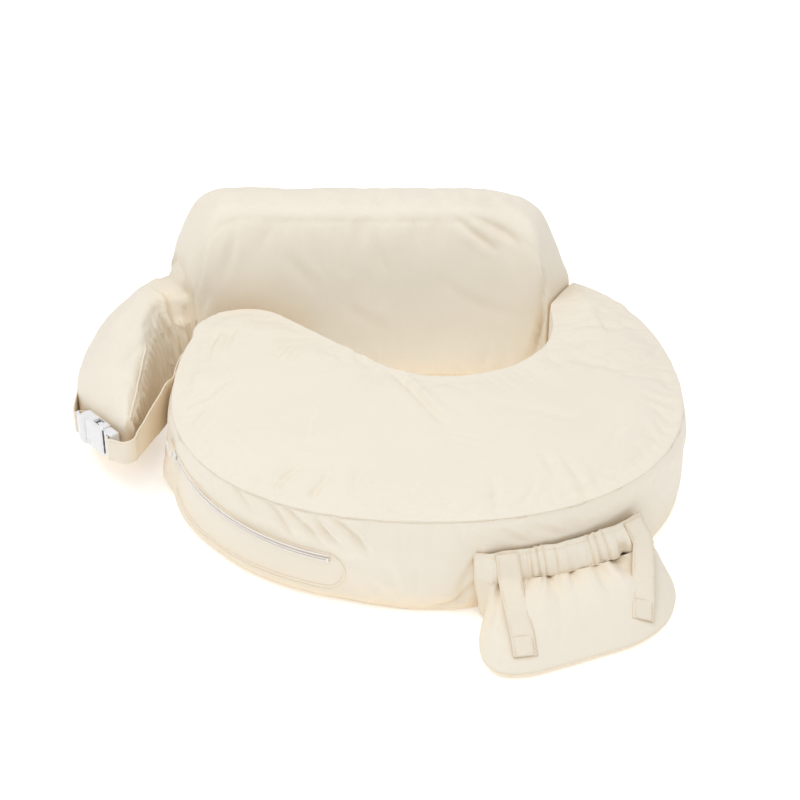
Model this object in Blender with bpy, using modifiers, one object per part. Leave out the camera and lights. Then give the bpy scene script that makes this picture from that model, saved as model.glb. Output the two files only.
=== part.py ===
"""Wrap-around nursing pillow.

A flat crescent foam platform carries the baby.  A taller foam back support is
hung on the crescent's right arm by a fabric hinge, goes round behind the
wearer and ends in a low wing.  A side-release buckle on the wing's end takes
a strap that is sewn to the crescent's left arm.  The cover has a zip in a
long round-ended window at the left front and an elastic-topped pocket at the
right front.

Units: the dimensions are in millimetres; the meshes are in metres.
Origin: on the underside, below the middle of the crescent.  +Z is up,
-Y is the baby side (front), -X is left (buckle side) and +X is right.
A "line" is a row of (x, y) points in plan.
"""
import math
from collections import namedtuple

import bmesh
import bpy
import numpy as np
from mathutils import Vector

MM = 0.001

# -------------------------------------------------------- driving dimensions
CLOTH = 1.2             # thickness of a cover panel with its seam
GAP = 0.4               # clearance between neighbouring pieces
INSET = CLOTH + GAP     # from the cover's surface to the piece inside it

HALF_WIDTH = 252.0      # half width of the crescent
DEPTH_FRONT = 236.0     # from OVAL_Y to the front edge
DEPTH_BACK = 262.0      # from OVAL_Y to the back of the oval
OVAL_Y = 112.0          # where the two halves of the oval meet
OVAL_POWER = 2.25       # 2 would be an ellipse
PLATFORM_HEIGHT = 100.0
BACK_HEIGHT = 190.0     # back support

TIP_X, TIP_Y, TIP_RADIUS = -188.0, 206.0, 55.0          # round end of the left arm
WAIST_X, WAIST_Y, WAIST_RADIUS = 22.0, 234.0, 110.0     # hollow for the waist

HINGE_IN = np.array((WAIST_X + WAIST_RADIUS, 270.0))    # fabric hinge: waist end
HINGE_OUT = np.array((160.3, 326.3))                    # fabric hinge: outer end
HINGE_AXIS = (161.5, 328.0)     # the back support turns about this upright line

BUCKLE_AT = (-306.0, 64.0)      # front end of the buckle in plan
BUCKLE_DIR = (-0.655, 0.7556)   # from there towards the wing's webbing loop
BUCKLE_Z = 54.5                 # height of the buckle's middle

ZIP_CENTRE = (-41.7, 90.1)      # centre of the zip's arc in plan
ZIP_RADIUS = 208.6
ZIP_START = math.radians(194.5)     # shut end
ZIP_END = math.radians(256.5)

POCKET_Z = 66.0         # height of the pocket's mouth

# ------------------------------------------------------------------ finishes
Finish = namedtuple("Finish", "colour roughness")
WHITE = (0.86, 0.86, 0.88)
COVER = Finish(colour=(0.895, 0.835, 0.735), roughness=0.85)
LINING = Finish(colour=(0.80, 0.74, 0.64), roughness=0.85)
FOAM = Finish(colour=(0.90, 0.86, 0.70), roughness=0.95)
ELASTIC = Finish(colour=WHITE, roughness=0.85)
ZIP_TAPE = Finish(colour=WHITE, roughness=0.8)
ZIP_COIL = Finish(colour=WHITE, roughness=0.5)
ZIP_STOP = Finish(colour=WHITE, roughness=0.3)
ZIP_SLIDER = Finish(colour=(0.80, 0.79, 0.76), roughness=0.35)
PLASTIC = Finish(colour=WHITE, roughness=0.35)
HELPER = Finish(colour=WHITE, roughness=0.5)

# --------------------------------------------------------------------- scene
for old in list(bpy.data.objects):
    bpy.data.objects.remove(old, do_unlink=True)
PILLOW = bpy.data.collections.new("nursing_pillow")
CUTTERS = bpy.data.collections.new("cutters")
bpy.context.scene.collection.children.link(PILLOW)
bpy.context.scene.collection.children.link(CUTTERS)


# ------------------------------------------------------------ object helpers
def material(name, finish):
    made = bpy.data.materials.new(name)
    made.use_nodes = True
    shader = made.node_tree.nodes["Principled BSDF"]
    shader.inputs["Base Color"].default_value = (*finish.colour, 1.0)
    shader.inputs["Roughness"].default_value = finish.roughness
    made.diffuse_color = (*finish.colour, 1.0)
    return made


def world_place(item):
    """World position in metres of an object whose parents are only moved."""
    place = Vector()
    while item is not None:
        place = place + item.location
        item = item.parent
    return place


def add_object(name, data, place=(0, 0, 0), parent=None):
    """Link an object with its origin at the world point place (mm)."""
    item = bpy.data.objects.new(name, data)
    item.parent = parent
    item.location = Vector(place) * MM - world_place(parent)
    PILLOW.objects.link(item)
    return item


def pivot(name, place, parent=None):
    """An empty that pieces turn about."""
    empty = add_object(name, None, place, parent)
    empty.empty_display_size = 0.03
    return empty


def mesh_object(name, shape, finish, origin=(0, 0, 0), parent=None):
    """Turn a bmesh in world millimetres into an object with this origin."""
    for vert in shape.verts:
        vert.co = (vert.co - Vector(origin)) * MM
    mesh = bpy.data.meshes.new(name)
    shape.to_mesh(mesh)
    shape.free()
    mesh.materials.append(material(name, finish))
    return add_object(name, mesh, origin, parent)


def face_outward(shape):
    """Make every face point out of the closed body."""
    bmesh.ops.recalc_face_normals(shape, faces=shape.faces)
    if shape.calc_volume(signed=True) < 0:
        bmesh.ops.reverse_faces(shape, faces=shape.faces)


def triangulate_large(shape):
    large = [face for face in shape.faces if len(face.verts) > 4]
    bmesh.ops.triangulate(shape, faces=large)


def sheet(name, rows, finish=COVER, thickness=CLOTH, side=-1.0, origin=(0, 0, 0), parent=None):
    """A cover panel through rows of 3D points; side is the solidify offset."""
    shape = bmesh.new()
    grid = [[shape.verts.new(tuple(point)) for point in row] for row in rows]
    for low, high in zip(grid, grid[1:]):
        for i in range(len(low) - 1):
            shape.faces.new((low[i], high[i], high[i + 1], low[i + 1]))
    panel = mesh_object(name, shape, finish, origin, parent)
    solid = panel.modifiers.new("cloth", "SOLIDIFY")
    solid.thickness = thickness * MM
    solid.offset = side
    solid.use_even_offset = True
    return panel


def ruled_sheet(name, first, last, shares=(0.0, 0.5, 1.0), **options):
    """A panel with straight columns between two rows of 3D points."""
    first, last = np.array(first), np.array(last)
    return sheet(name, [first + (last - first) * share for share in shares], **options)


def loft(name, rings, finish, origin=(0, 0, 0), parent=None):
    """A closed body through rings of the same number of points."""
    shape = bmesh.new()
    loops = [[shape.verts.new(tuple(point)) for point in ring] for ring in rings]
    count = len(loops[0])
    for near, far in zip(loops, loops[1:]):
        for i in range(count):
            j = (i + 1) % count
            shape.faces.new((near[i], near[j], far[j], far[i]))
    shape.faces.new(list(reversed(loops[0])))
    shape.faces.new(loops[-1])
    face_outward(shape)
    return mesh_object(name, shape, finish, origin, parent)


def flat_panel(name, line, bottom, top, finish, parent=None):
    """A level panel: a filled 2D curve extruded by half its thickness."""
    curve = bpy.data.curves.new(name, "CURVE")
    curve.dimensions = "2D"
    curve.fill_mode = "BOTH"
    curve.extrude = (top - bottom) / 2 * MM
    spline = curve.splines.new("POLY")
    spline.points.add(len(line) - 1)
    for point, (x, y) in zip(spline.points, line):
        point.co = (x * MM, y * MM, 0, 1)
    spline.use_cyclic_u = True
    curve.materials.append(material(name, finish))
    return add_object(name, curve, (0, 0, (bottom + top) / 2), parent)


# -------------------------------------------------------------- line helpers
def unit(vector):
    return vector / np.hypot(*vector)


def raised(line, heights):
    """Plan points given one common height, or a height each."""
    line = np.array(line, float)
    return np.column_stack([line, np.broadcast_to(heights, len(line))])


def run_length(line):
    return np.r_[0, np.cumsum(np.hypot(*np.diff(line, axis=0).T))]


def interp_columns(wanted, known, table):
    return np.stack([np.interp(wanted, known, column) for column in table.T], 1)


def resample(line, count):
    """Evenly spaced points along a line."""
    line = np.array(line, float)
    lengths = run_length(line)
    return interp_columns(np.linspace(0, lengths[-1], count), lengths, line)


def catmull_rom(control, steps):
    """A curve through the rows of control, with this many steps per span."""
    knots = np.array(control, float)
    knots = np.vstack([2 * knots[0] - knots[1], knots, 2 * knots[-1] - knots[-2]])
    points = []
    for i in range(1, len(knots) - 2):
        before, start, end, after = knots[i - 1:i + 3]
        for t in np.linspace(0, 1, steps, endpoint=False):
            points.append(0.5 * (2 * start + (end - before) * t
                                 + (2 * before - 5 * start + 4 * end - after) * t ** 2
                                 + (3 * start - before - 3 * end + after) * t ** 3))
    points.append(knots[-2])
    return np.array(points)


def smooth_line(control, count):
    return resample(catmull_rom(control, 12), count)


def offset_line(line, distance, closed=False):
    """Move a line sideways, to the right of its direction."""
    line = np.array(line, float)
    last = len(line) - 1
    moved = []
    for i, point in enumerate(line):
        before = line[i - 1 if closed else max(i - 1, 0)]
        after = line[(i + 1) % len(line) if closed else min(i + 1, last)]
        x, y = unit(after - before)
        moved.append(point + distance * np.array((y, -x)))
    return np.array(moved)


def pull_in_start(line, share):
    """Move the first entry towards the second by this share of their distance."""
    line = np.array(line, float)
    line[0] += (line[1] - line[0]) * share
    return line


def part_of(line, y_low, y_high, x_limit):
    """The points between two y values and left of x_limit."""
    return [point for point in line if y_low < point[1] < y_high and point[0] < x_limit]


def point_on(line, index):
    """Point at a fractional index of a line."""
    k = min(int(index), len(line) - 2)
    return line[k] + (line[k + 1] - line[k]) * (index - k)


def arc(x, y, radius, angles):
    return [(x + radius * math.cos(a), y + radius * math.sin(a)) for a in angles]


def rectangle(x_low, x_high, z_low, z_high):
    return (x_low, z_low), (x_high, z_low), (x_high, z_high), (x_low, z_high)


# --------------------------------------------------- outline of the crescent
def signed_power(value, power):
    return math.copysign(abs(value) ** power, value)


def oval(angle):
    cosine, sine = math.cos(angle), math.sin(angle)
    depth = DEPTH_FRONT if sine < 0 else DEPTH_BACK
    return (HALF_WIDTH * signed_power(cosine, 2 / OVAL_POWER),
            OVAL_Y + depth * signed_power(sine, 2 / OVAL_POWER))


def front_angle(x):
    """Angle of the oval's front point at this x, right of the centre."""
    return -math.acos((x / HALF_WIDTH) ** (OVAL_POWER / 2))


def crescent_outer():
    """From the fabric hinge clockwise round the front to the left arm's tip."""
    half_power = OVAL_POWER / 2
    start = math.atan2(((HINGE_OUT[1] - OVAL_Y) / DEPTH_BACK) ** half_power,
                       (HINGE_OUT[0] / HALF_WIDTH) ** half_power)
    end = -math.pi - math.asin(((TIP_Y - OVAL_Y) / DEPTH_BACK) ** half_power)
    return resample([oval(a) for a in np.linspace(start, end, 400)], 76)


def crescent_inner():
    """Left arm's tip, straight run, hollow of the waist, up to the hinge."""
    across, up = WAIST_X - TIP_X, WAIST_Y - TIP_Y
    # the straight run is tangent to both circles
    tangent = math.atan2(up, across) + math.acos(
        (TIP_RADIUS + WAIST_RADIUS) / math.hypot(across, up))
    tip = arc(TIP_X, TIP_Y, TIP_RADIUS, np.linspace(math.pi, tangent, 12))
    waist = arc(WAIST_X, WAIST_Y, WAIST_RADIUS,
                np.linspace(tangent + math.pi, 2 * math.pi, 26))
    return resample(tip + waist + [HINGE_IN], 64)


# the outline runs clockwise seen from above, so its right is the inside
OUTER = crescent_outer()
INNER = crescent_inner()
OUTER[-1] = INNER[0] = (OUTER[-1] + INNER[0]) / 2

HINGE_DIR = unit(HINGE_OUT - HINGE_IN)
HINGE_NORMAL = np.array([HINGE_DIR[1], -HINGE_DIR[0]])      # from the back to the arm
HINGE_ZONE = (146, 298)     # middle of the square in which lines are clipped
HINGE_ZONE_HALF = 60
PANEL_HINGE_GAP = 1.9
FOAM_HINGE_GAP = 3.1


def clip_to_arm(line, gap):
    """Keep a line on the arm's side of the hinge plane, at the stated gap."""
    clipped = []
    for point in line:
        distance = float(np.dot(point - HINGE_IN, HINGE_NORMAL))
        near = (abs(point[0] - HINGE_ZONE[0]) < HINGE_ZONE_HALF
                and abs(point[1] - HINGE_ZONE[1]) < HINGE_ZONE_HALF)
        move = gap - distance if near and distance < gap else 0.0
        clipped.append(point + HINGE_NORMAL * move)
    return np.array(clipped)


# ------------------------------------------------------------------ platform
FOAM_CORNER_IN = 3.2        # foam's hinge corners: distance from the hinge plane
FOAM_CORNER_SHORT = 4.0     # and from the ends of the hinge line
FOAM_EDGE_IN = 5.0          # the foam's lower edge is cut off by this sideways
FOAM_EDGE_UP = 6.0          # and by this upwards
DIVIDER_LEVELS = (2.0, 35.0, 66.0, 98.0)
SIDE_LEVELS = (INSET, PLATFORM_HEIGHT / 2, PLATFORM_HEIGHT - INSET)


def build_platform_panels():
    line = clip_to_arm(np.vstack([OUTER[:-1], INNER[:-1], [HINGE_IN]]), PANEL_HINGE_GAP)
    flat_panel("platform_bottom_panel", line, 0.0, CLOTH, LINING)
    flat_panel("platform_top_panel", line, PLATFORM_HEIGHT - CLOTH, PLATFORM_HEIGHT, COVER)


def build_platform_foam():
    outer, inner = offset_line(OUTER, INSET), offset_line(INNER, INSET)
    inward = HINGE_NORMAL * FOAM_CORNER_IN
    short = HINGE_DIR * FOAM_CORNER_SHORT
    line = clip_to_arm(np.vstack([[HINGE_OUT + inward - short], outer[2:-1],
                                  (outer[-1:] + inner[:1]) / 2, inner[1:-2],
                                  [HINGE_IN + inward + short]]), FOAM_HINGE_GAP)
    loft("platform_foam", [raised(offset_line(line, FOAM_EDGE_IN, closed=True), INSET),
                           raised(line, INSET + FOAM_EDGE_UP),
                           raised(line, PLATFORM_HEIGHT - INSET)], FOAM)


def build_foam_divider():
    """Lining cloth between the arm's foam and the back's foam."""
    line = [HINGE_IN + HINGE_NORMAL * 1.4 + HINGE_DIR * s for s in np.linspace(2.0, 60.0, 6)]
    sheet("foam_divider_panel", [raised(line, z) for z in DIVIDER_LEVELS],
          LINING, thickness=0.8, side=0.0)


def build_side_bands():
    """Both upright bands of the crescent; returns the outer one."""
    outer = clip_to_arm(OUTER, PANEL_HINGE_GAP)
    # the two bands stop short of each other at the left arm's tip
    waist = pull_in_start(clip_to_arm(INNER, PANEL_HINGE_GAP), 0.08)
    sheet("waist_side_band", [raised(waist, z) for z in SIDE_LEVELS])
    return sheet("outer_side_band", [raised(outer, z) for z in SIDE_LEVELS])


# ---------------------------------------------------------------- zip window
# the zip's arc lies in a plane that falls towards the front right
ZIP_LEVEL_Z = 59.0                  # height of that plane at ZIP_LEVEL_AT
ZIP_LEVEL_AT = (-169.5, -35.5)
ZIP_FALL_DIR = (0.729, -0.685)
ZIP_FALL = 0.08                     # fall per mm in that direction

WINDOW_LOW = 18.0                   # lower edge of the window
WINDOW_OVER_ZIP = 4.5               # its upper edge above the zip's middle
WINDOW_START = ZIP_START - 0.035    # angle of its square end
CUTTER_IN, CUTTER_OUT = 7.0, 8.0    # cutter's reach each side of the zip's arc
PLACKET_UNDER_ZIP = 4.3             # its top edge below the zip's middle


def zip_plan(angle, radius):
    return (ZIP_CENTRE[0] + radius * math.cos(angle),
            ZIP_CENTRE[1] + radius * math.sin(angle))


def zip_point(angle, out=0.0, rise=0.0):
    """A point at this angle of the zip's arc, moved outwards and up."""
    x, y = zip_plan(angle, ZIP_RADIUS + out)
    fall = ((x - ZIP_LEVEL_AT[0]) * ZIP_FALL_DIR[0]
            + (y - ZIP_LEVEL_AT[1]) * ZIP_FALL_DIR[1]) * ZIP_FALL
    return x, y, ZIP_LEVEL_Z - fall + rise


def window_columns(grow):
    """(angle, low z, high z) of the window's columns, grown by grow."""
    columns = [(a, WINDOW_LOW - grow, zip_point(a, rise=WINDOW_OVER_ZIP)[2] + grow)
               for a in np.linspace(WINDOW_START, ZIP_END, 22)]
    end_top = zip_point(ZIP_END, rise=WINDOW_OVER_ZIP)[2]
    middle = (end_top + WINDOW_LOW) / 2
    radius = (end_top - WINDOW_LOW) / 2 + grow
    for k in range(1, 7):
        turn = math.radians(90 * k / 6.5)
        half = radius * math.cos(turn)
        columns.append((ZIP_END + radius * math.sin(turn) / ZIP_RADIUS,
                        middle - half, middle + half))
    return columns


def cut_window(band):
    """Cut a long slot with one round end right through the outer band."""
    rings = []
    for angle, low, high in window_columns(0.0):
        section = rectangle(ZIP_RADIUS - CUTTER_IN, ZIP_RADIUS + CUTTER_OUT, low, high)
        rings.append([(*zip_plan(angle, radius), z) for radius, z in section])
    cutter = loft("window_cutter", rings, HELPER)
    PILLOW.objects.unlink(cutter)
    CUTTERS.objects.link(cutter)
    cutter.hide_render = True
    cutter.display_type = "WIRE"
    cut = band.modifiers.new("zip_window", "BOOLEAN")
    cut.operation = "DIFFERENCE"
    cut.object = cutter


def build_placket():
    """The fabric that fills the window below the zip."""
    x, y = (OUTER - ZIP_CENTRE).T
    directions = np.arctan2(y, x) % (2 * math.pi)
    order = np.argsort(directions)
    directions, radii = directions[order], np.hypot(x, y)[order]
    columns = window_columns(-0.6)
    columns[0] = (columns[0][0] + 0.004, *columns[0][1:])
    bottom, top = [], []
    for angle, low, high in columns:
        under_zip = zip_point(min(angle, ZIP_END))[2] - PLACKET_UNDER_ZIP
        radius = float(np.interp(angle % (2 * math.pi), directions, radii)) + 0.1
        place = zip_plan(angle, radius)
        bottom.append((*place, low))
        top.append((*place, max(min(high, under_zip), low + 1.0)))
    ruled_sheet("zip_placket", bottom, top, thickness=1.0, side=1.0)


# ----------------------------------------------------------------------- zip
# name, section (out low, out high, rise low, rise high), angles (start, end, count), finish
ZIP_STRIPS = (
    ("zip_tape_upper", (-0.2, 0.6, 1.7, 4.0), (ZIP_START, ZIP_END, 26), ZIP_TAPE),
    ("zip_tape_lower", (-0.2, 0.6, -4.0, -1.7), (ZIP_START, ZIP_END, 26), ZIP_TAPE),
    ("zip_coil", (-0.5, 1.3, -1.3, 1.3), (ZIP_START, ZIP_END, 26), ZIP_COIL),
    ("zip_top_stop", (1.7, 3.0, -1.9, 1.9), (ZIP_START + 0.002, ZIP_START + 0.012, 3), ZIP_STOP),
    ("zip_bottom_stop", (1.7, 3.0, -1.9, 1.9), (ZIP_END - 0.012, ZIP_END - 0.002, 3), ZIP_STOP),
)
SLIDER_ANGLE = ZIP_START + 0.040    # the slider's middle when the zip is shut
SLIDER_HALF_ANGLE = 0.022
# (out, rise): a plate outside the coil with two cheeks over its edges
SLIDER_SECTION = ((1.0, -3.2), (4.2, -3.2), (4.2, 3.2), (1.0, 3.2),
                  (1.0, 2.0), (1.75, 2.0), (1.75, -2.0), (1.0, -2.0))
PULL_ANGLE = SLIDER_ANGLE - 0.018
PULL_OUT = 6.2                      # the pull's axis outside the zip's arc
PULL_HALF_THICK = 0.9
# (distance from the axis towards the shut end, half width)
PULL_STATIONS = ((-1.3, 2.4), (0.0, 3.0), (3.0, 2.6), (7.0, 2.2),
                 (12.0, 3.6), (17.0, 4.4), (19.0, 3.6), (20.0, 2.0))


def zip_loft(name, section, angles, finish, parent=None):
    """A body with an (out, rise) section that follows the zip's arc."""
    rings = [[zip_point(a, out, rise) for out, rise in section] for a in angles]
    loft(name, rings, finish, parent=parent)


def build_zip():
    for name, section, angles, finish in ZIP_STRIPS:
        zip_loft(name, rectangle(*section), np.linspace(*angles), finish)


def build_zip_slider():
    """The slider, carried round the arc's centre; returns its pivot."""
    axis = pivot("zip_slider_axis", zip_point(0, -ZIP_RADIUS))
    angles = np.linspace(SLIDER_ANGLE - SLIDER_HALF_ANGLE, SLIDER_ANGLE + SLIDER_HALF_ANGLE, 4)
    zip_loft("zip_slider", SLIDER_SECTION, angles, ZIP_SLIDER, axis)
    return axis


def build_zip_pull(slider_axis):
    """Pull tab along the band, hung on the slider's outer side."""
    centre = Vector(zip_point(PULL_ANGLE, PULL_OUT))
    axis = pivot("zip_pull_axis", centre, slider_axis)
    towards_shut = Vector((math.sin(PULL_ANGLE), -math.cos(PULL_ANGLE), 0))
    outward = Vector((math.cos(PULL_ANGLE), math.sin(PULL_ANGLE), 0))
    rings = []
    for distance, half in PULL_STATIONS:
        middle = centre + towards_shut * distance
        section = rectangle(-PULL_HALF_THICK, PULL_HALF_THICK, -half, half)
        rings.append([middle + outward * out + Vector((0, 0, z)) for out, z in section])
    loft("zip_pull_tab", rings, ZIP_SLIDER, origin=centre, parent=axis)


# ------------------------------------------------- back support: its stations
STATION_COUNT = 80
# plan of the back and wing, from the hinge to the wing's end:
# inner face x, y, outer face x, y
BACK_PLAN = (
    (*(HINGE_IN - HINGE_NORMAL * GAP), *(HINGE_OUT - HINGE_NORMAL * GAP)),
    (125, 276, 146, 336.5),
    (114, 279, 128, 347),
    (96, 280.5, 104, 357.5),
    (70, 281, 76, 363.5),
    (20, 281, 20, 367),
    (-60, 281, -60, 368),
    (-140, 281, -140, 368),
    (-200, 281, -212, 368),
    (-228, 280.5, -258, 367),
    (-249, 276.5, -288, 357),
    (-264, 261, -311, 336),
    (-272, 238, -328, 302),
    (-279, 205, -341, 262),
    (-284, 172, -348.5, 218),
    (-286, 142, -350, 176),
    (-287, 116, -347, 142),
    (-288, 94, -335.5, 112.5),
    (-291, 76, -318, 91),
    (-295.5, 67, -300.5, 71.5),
)
# (x, z) of the back's rear top edge; both ends are rounded down
BACK_TOP_EDGE = np.array((
    (-284, 93), (-276, 100), (-269, 114), (-263, 136), (-257, 152), (-250, 164),
    (-242, 176), (-234, 183), (-224, 188), (-206, BACK_HEIGHT), (60, BACK_HEIGHT),
    (92, 189), (112, 185), (124, 178), (131, 167), (138, 146), (143, 124),
    (150, 109), (160, 100)))
WING_TOP_X = -284       # left of this the top is level
WING_TOP_Z = 92.0
# (y, z) of the wing's underside, which rises towards its rounded end
WING_FOOT_EDGE = np.array(((60, 38), (70, 36), (82, 30), (95, 23.5),
                           (115, 15), (140, 6), (165, 1.5), (190, 0)))
WING_FOOT_X = -250      # right of this the underside is flat
LEAN = 16.0             # the inner face leans away from the wearer by this at its top


def soft_step(t):
    t = np.clip(t, 0.0, 1.0)
    return t * t * (3 - 2 * t)


def plan_stations():
    """Matching stations of both faces, evenly spaced along the middle."""
    dense = catmull_rom(BACK_PLAN, 8)
    lengths = run_length((dense[:, :2] + dense[:, 2:]) / 2)
    even = interp_columns(np.linspace(0, lengths[-1], STATION_COUNT), lengths, dense)
    return even[:, :2], even[:, 2:]


def top_heights():
    x = BACK_OUT[:, 0]
    z = np.where(x < WING_TOP_X, WING_TOP_Z, np.interp(x, *BACK_TOP_EDGE.T))
    z[1:-1] = (z[:-2] + 2 * z[1:-1] + z[2:]) / 4        # soften the shoulders
    return z


# one entry per station
BACK_IN, BACK_OUT = plan_stations()
BACK_MIDDLE = (BACK_IN + BACK_OUT) / 2
BACK_WIDTH = np.hypot(*(BACK_OUT - BACK_IN).T)
ACROSS = (BACK_OUT - BACK_IN) / BACK_WIDTH[:, None]     # from the inner to the outer face
BACK_TOP = top_heights()
# length of the top edge per unit of plan length
STEEPNESS = np.sqrt(1 + np.gradient(BACK_TOP, run_length(BACK_MIDDLE)) ** 2)
WING_FOOT = np.where(BACK_MIDDLE[:, 0] > WING_FOOT_X, 0.0,
                     np.interp(BACK_MIDDLE[:, 1], *WING_FOOT_EDGE.T))
# first station of the wing
WING_START = next(k for k in range(STATION_COUNT)
                  if BACK_IN[k][1] < 278.8 and BACK_IN[k][0] < -200)
STATION = np.arange(STATION_COUNT)
# shift of the inner face per mm of height; it fades out at both ends of the back
LEAN_RATE = ACROSS * (LEAN * soft_step(STATION / 9.0)
                      * soft_step((WING_START - 1 - STATION) / 7.0) / BACK_TOP)[:, None]


# ---------------------------------------------------------------------- back
FOAM_CUT = 5.0          # corners of the back's foam are cut by this
FOAM_UNDER_TOP = 1.6    # extra room between the foam and the top strip
FOAM_TURN_IN = 1.2      # extra room at the inner face where the plan turns
PANEL_UNDER_TOP = 2.2   # room between an upright panel and the top strip


def build_back_foam(axis):
    """Box section with its top corners cut."""
    rings = []
    for k in range(WING_START):
        top = BACK_TOP[k] - (INSET + FOAM_UNDER_TOP) * STEEPNESS[k]
        extra = FOAM_TURN_IN * (1 - soft_step((k - 10) / 12.0))
        inner = BACK_IN[k] + ACROSS[k] * (INSET + extra)
        outer = BACK_OUT[k] - ACROSS[k] * INSET
        corner = top - FOAM_CUT
        rings.append([(*(inner + LEAN_RATE[k] * INSET), INSET),
                      (*outer, INSET),
                      (*outer, corner),
                      (*(outer - ACROSS[k] * FOAM_CUT), top),
                      (*(inner + ACROSS[k] * FOAM_CUT + LEAN_RATE[k] * top), top),
                      (*(inner + LEAN_RATE[k] * corner), corner)])
    loft("back_foam", rings, FOAM, parent=axis)


def leaned_line(heights):
    """The back's inner face at a height for each of its stations."""
    shift = LEAN_RATE[:WING_START] * heights[:, None]
    return raised(BACK_IN[:WING_START] + shift, heights)


def build_back_cover(axis):
    """Inner and outer panel, top strip and base panel of the back."""
    inner, outer = BACK_IN[:WING_START], BACK_OUT[:WING_START]
    top = BACK_TOP[:WING_START]
    panel_top = top - CLOTH - PANEL_UNDER_TOP * STEEPNESS[:WING_START]
    ruled_sheet("back_inner_panel", leaned_line(np.full(WING_START, INSET)),
                leaned_line(panel_top), parent=axis)
    ruled_sheet("back_outer_panel", raised(outer, INSET)[::-1],
                raised(outer, panel_top)[::-1], parent=axis)
    ruled_sheet("back_top_strip", leaned_line(top), raised(outer, top), parent=axis)
    flat_panel("back_base_panel", np.vstack([inner, outer[::-1]]), 0.0, CLOTH, LINING, axis)


# ---------------------------------------------------------------------- wing
TOP_SHARES = (1.0, 0.85, 0.65, 0.4, 0.15)   # across the wing's top, 1 at the outer face
FOAM_RIDGE = 0.0                            # the foam's last share
COVER_RIDGE = 0.03                          # the outer panel's last share
WING_FOOT_LIFT = 0.8                        # side panels start this far above the base


def wing_dome(k, share):
    """Height of the wing's rounded top, share = 0 at the inner ridge, 1 outside."""
    end = min(1.0, max(0.0, (BACK_IN[k][1] - 66.0) / 62.0))
    ridge = 74 + 24 * math.sqrt(end * (2 - end))
    outer = 64 + 12 * end
    return (outer + (ridge - outer) * math.cos(share * math.pi / 2) ** 0.7
            + 6 * end * math.sin(math.pi * share))


def wing_top(k, share):
    """The dome, blended into the back's top over the wing's first stations."""
    blend = max(0.0, 1 - (k - WING_START) / 6.0)
    edge_drop = 3 if share in (FOAM_RIDGE, COVER_RIDGE, 1.0) else 0
    return wing_dome(k, share) * (1 - blend) + (BACK_TOP[k] - edge_drop) * blend


def wing_foam_section(k):
    side = min(INSET + 2.6, BACK_WIDTH[k] * 0.32)
    inner = BACK_IN[k] + ACROSS[k] * side
    outer = BACK_OUT[k] - ACROSS[k] * side
    foot = CLOTH + 1.6 + WING_FOOT[k]
    return [(*inner, foot), (*outer, foot)] + [
        (*(inner + (outer - inner) * share), wing_top(k, share) - 2.4 * INSET)
        for share in (*TOP_SHARES, FOAM_RIDGE)]


def wing_outer_section(k):
    """Up the outer face and over the top to the inner ridge."""
    inner, outer = BACK_IN[k], BACK_OUT[k]
    points = [(*outer, INSET + WING_FOOT_LIFT + WING_FOOT[k]),
              (*outer, 0.5 * (WING_FOOT[k] + wing_dome(k, 1.0)))]
    return points + [(*(inner + (outer - inner) * share), wing_top(k, share))
                     for share in (*TOP_SHARES, COVER_RIDGE)]


def wing_inner_section(k):
    return [(*BACK_IN[k], INSET + WING_FOOT_LIFT + WING_FOOT[k]),
            (*BACK_IN[k], wing_top(k, 0.0) - 2.6)]


def wing_sections(section, share):
    """The wing's sections, led by one just clear of the back's last station."""
    sections = np.array([section(k) for k in range(WING_START - 1, STATION_COUNT - 1)])
    sections[0, :, 2] = sections[1, :, 2]
    return pull_in_start(sections, share)


def build_wing(axis):
    loft("wing_foam", wing_sections(wing_foam_section, 0.08), FOAM, parent=axis)
    first = WING_START - 1
    foot = WING_FOOT[first:] + CLOTH
    ruled_sheet("wing_base_panel", raised(pull_in_start(BACK_IN[first:], 0.05), foot),
                raised(pull_in_start(BACK_OUT[first:], 0.05), foot),
                finish=LINING, parent=axis)
    outer = wing_sections(wing_outer_section, 0.06)
    sheet("wing_outer_panel", outer.transpose(1, 0, 2)[:, ::-1], parent=axis)
    inner = wing_sections(wing_inner_section, 0.06)
    ruled_sheet("wing_inner_panel", inner[:, 0], inner[:, 1],
                shares=(0.0, 1 / 3, 2 / 3, 1.0), parent=axis)


# -------------------------------------------------------------------- buckle
# buckle coordinates: along it towards the wing, out from the pillow, up from its middle
INSERT_AXIS_ALONG = 14
LATCH_ROOT = (15.0, 7.4)        # (along, up) of the upper arm's pivot
LATCH_HALF_THICK = 2.2
# (along, up) outline of the upper latch arm
LATCH_OUTLINE = ((13.9, 5.4), (13.9, 9.8), (18.0, 11.2), (22.8, 12.2),
                 (23.3, 15.6), (26.5, 15.6), (31.0, 12.4), (38.0, 10.4),
                 (39.5, 7.6), (34.0, 7.2), (26.0, 7.6), (19.0, 6.4))


def at_buckle(along, out, up):
    """World point of buckle coordinates."""
    x, y = BUCKLE_DIR
    return (BUCKLE_AT[0] + x * along - y * out,
            BUCKLE_AT[1] + y * along + x * out,
            BUCKLE_Z + up)


def buckle_plan(along, out):
    return at_buckle(along, out, 0)[:2]


def place_at_buckle(shape):
    for vert in shape.verts:
        vert.co = Vector(at_buckle(*vert.co))


def box(low, high, bevel=0.0):
    shape = bmesh.new()
    bmesh.ops.create_cube(shape, size=1.0)
    for vert in shape.verts:
        vert.co = Vector([a + (b - a) * (c + 0.5) for a, b, c in zip(low, high, vert.co)])
    if bevel:
        bmesh.ops.bevel(shape, geom=list(shape.edges), offset=bevel, segments=2,
                        profile=0.5, affect="EDGES")
    return shape


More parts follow.
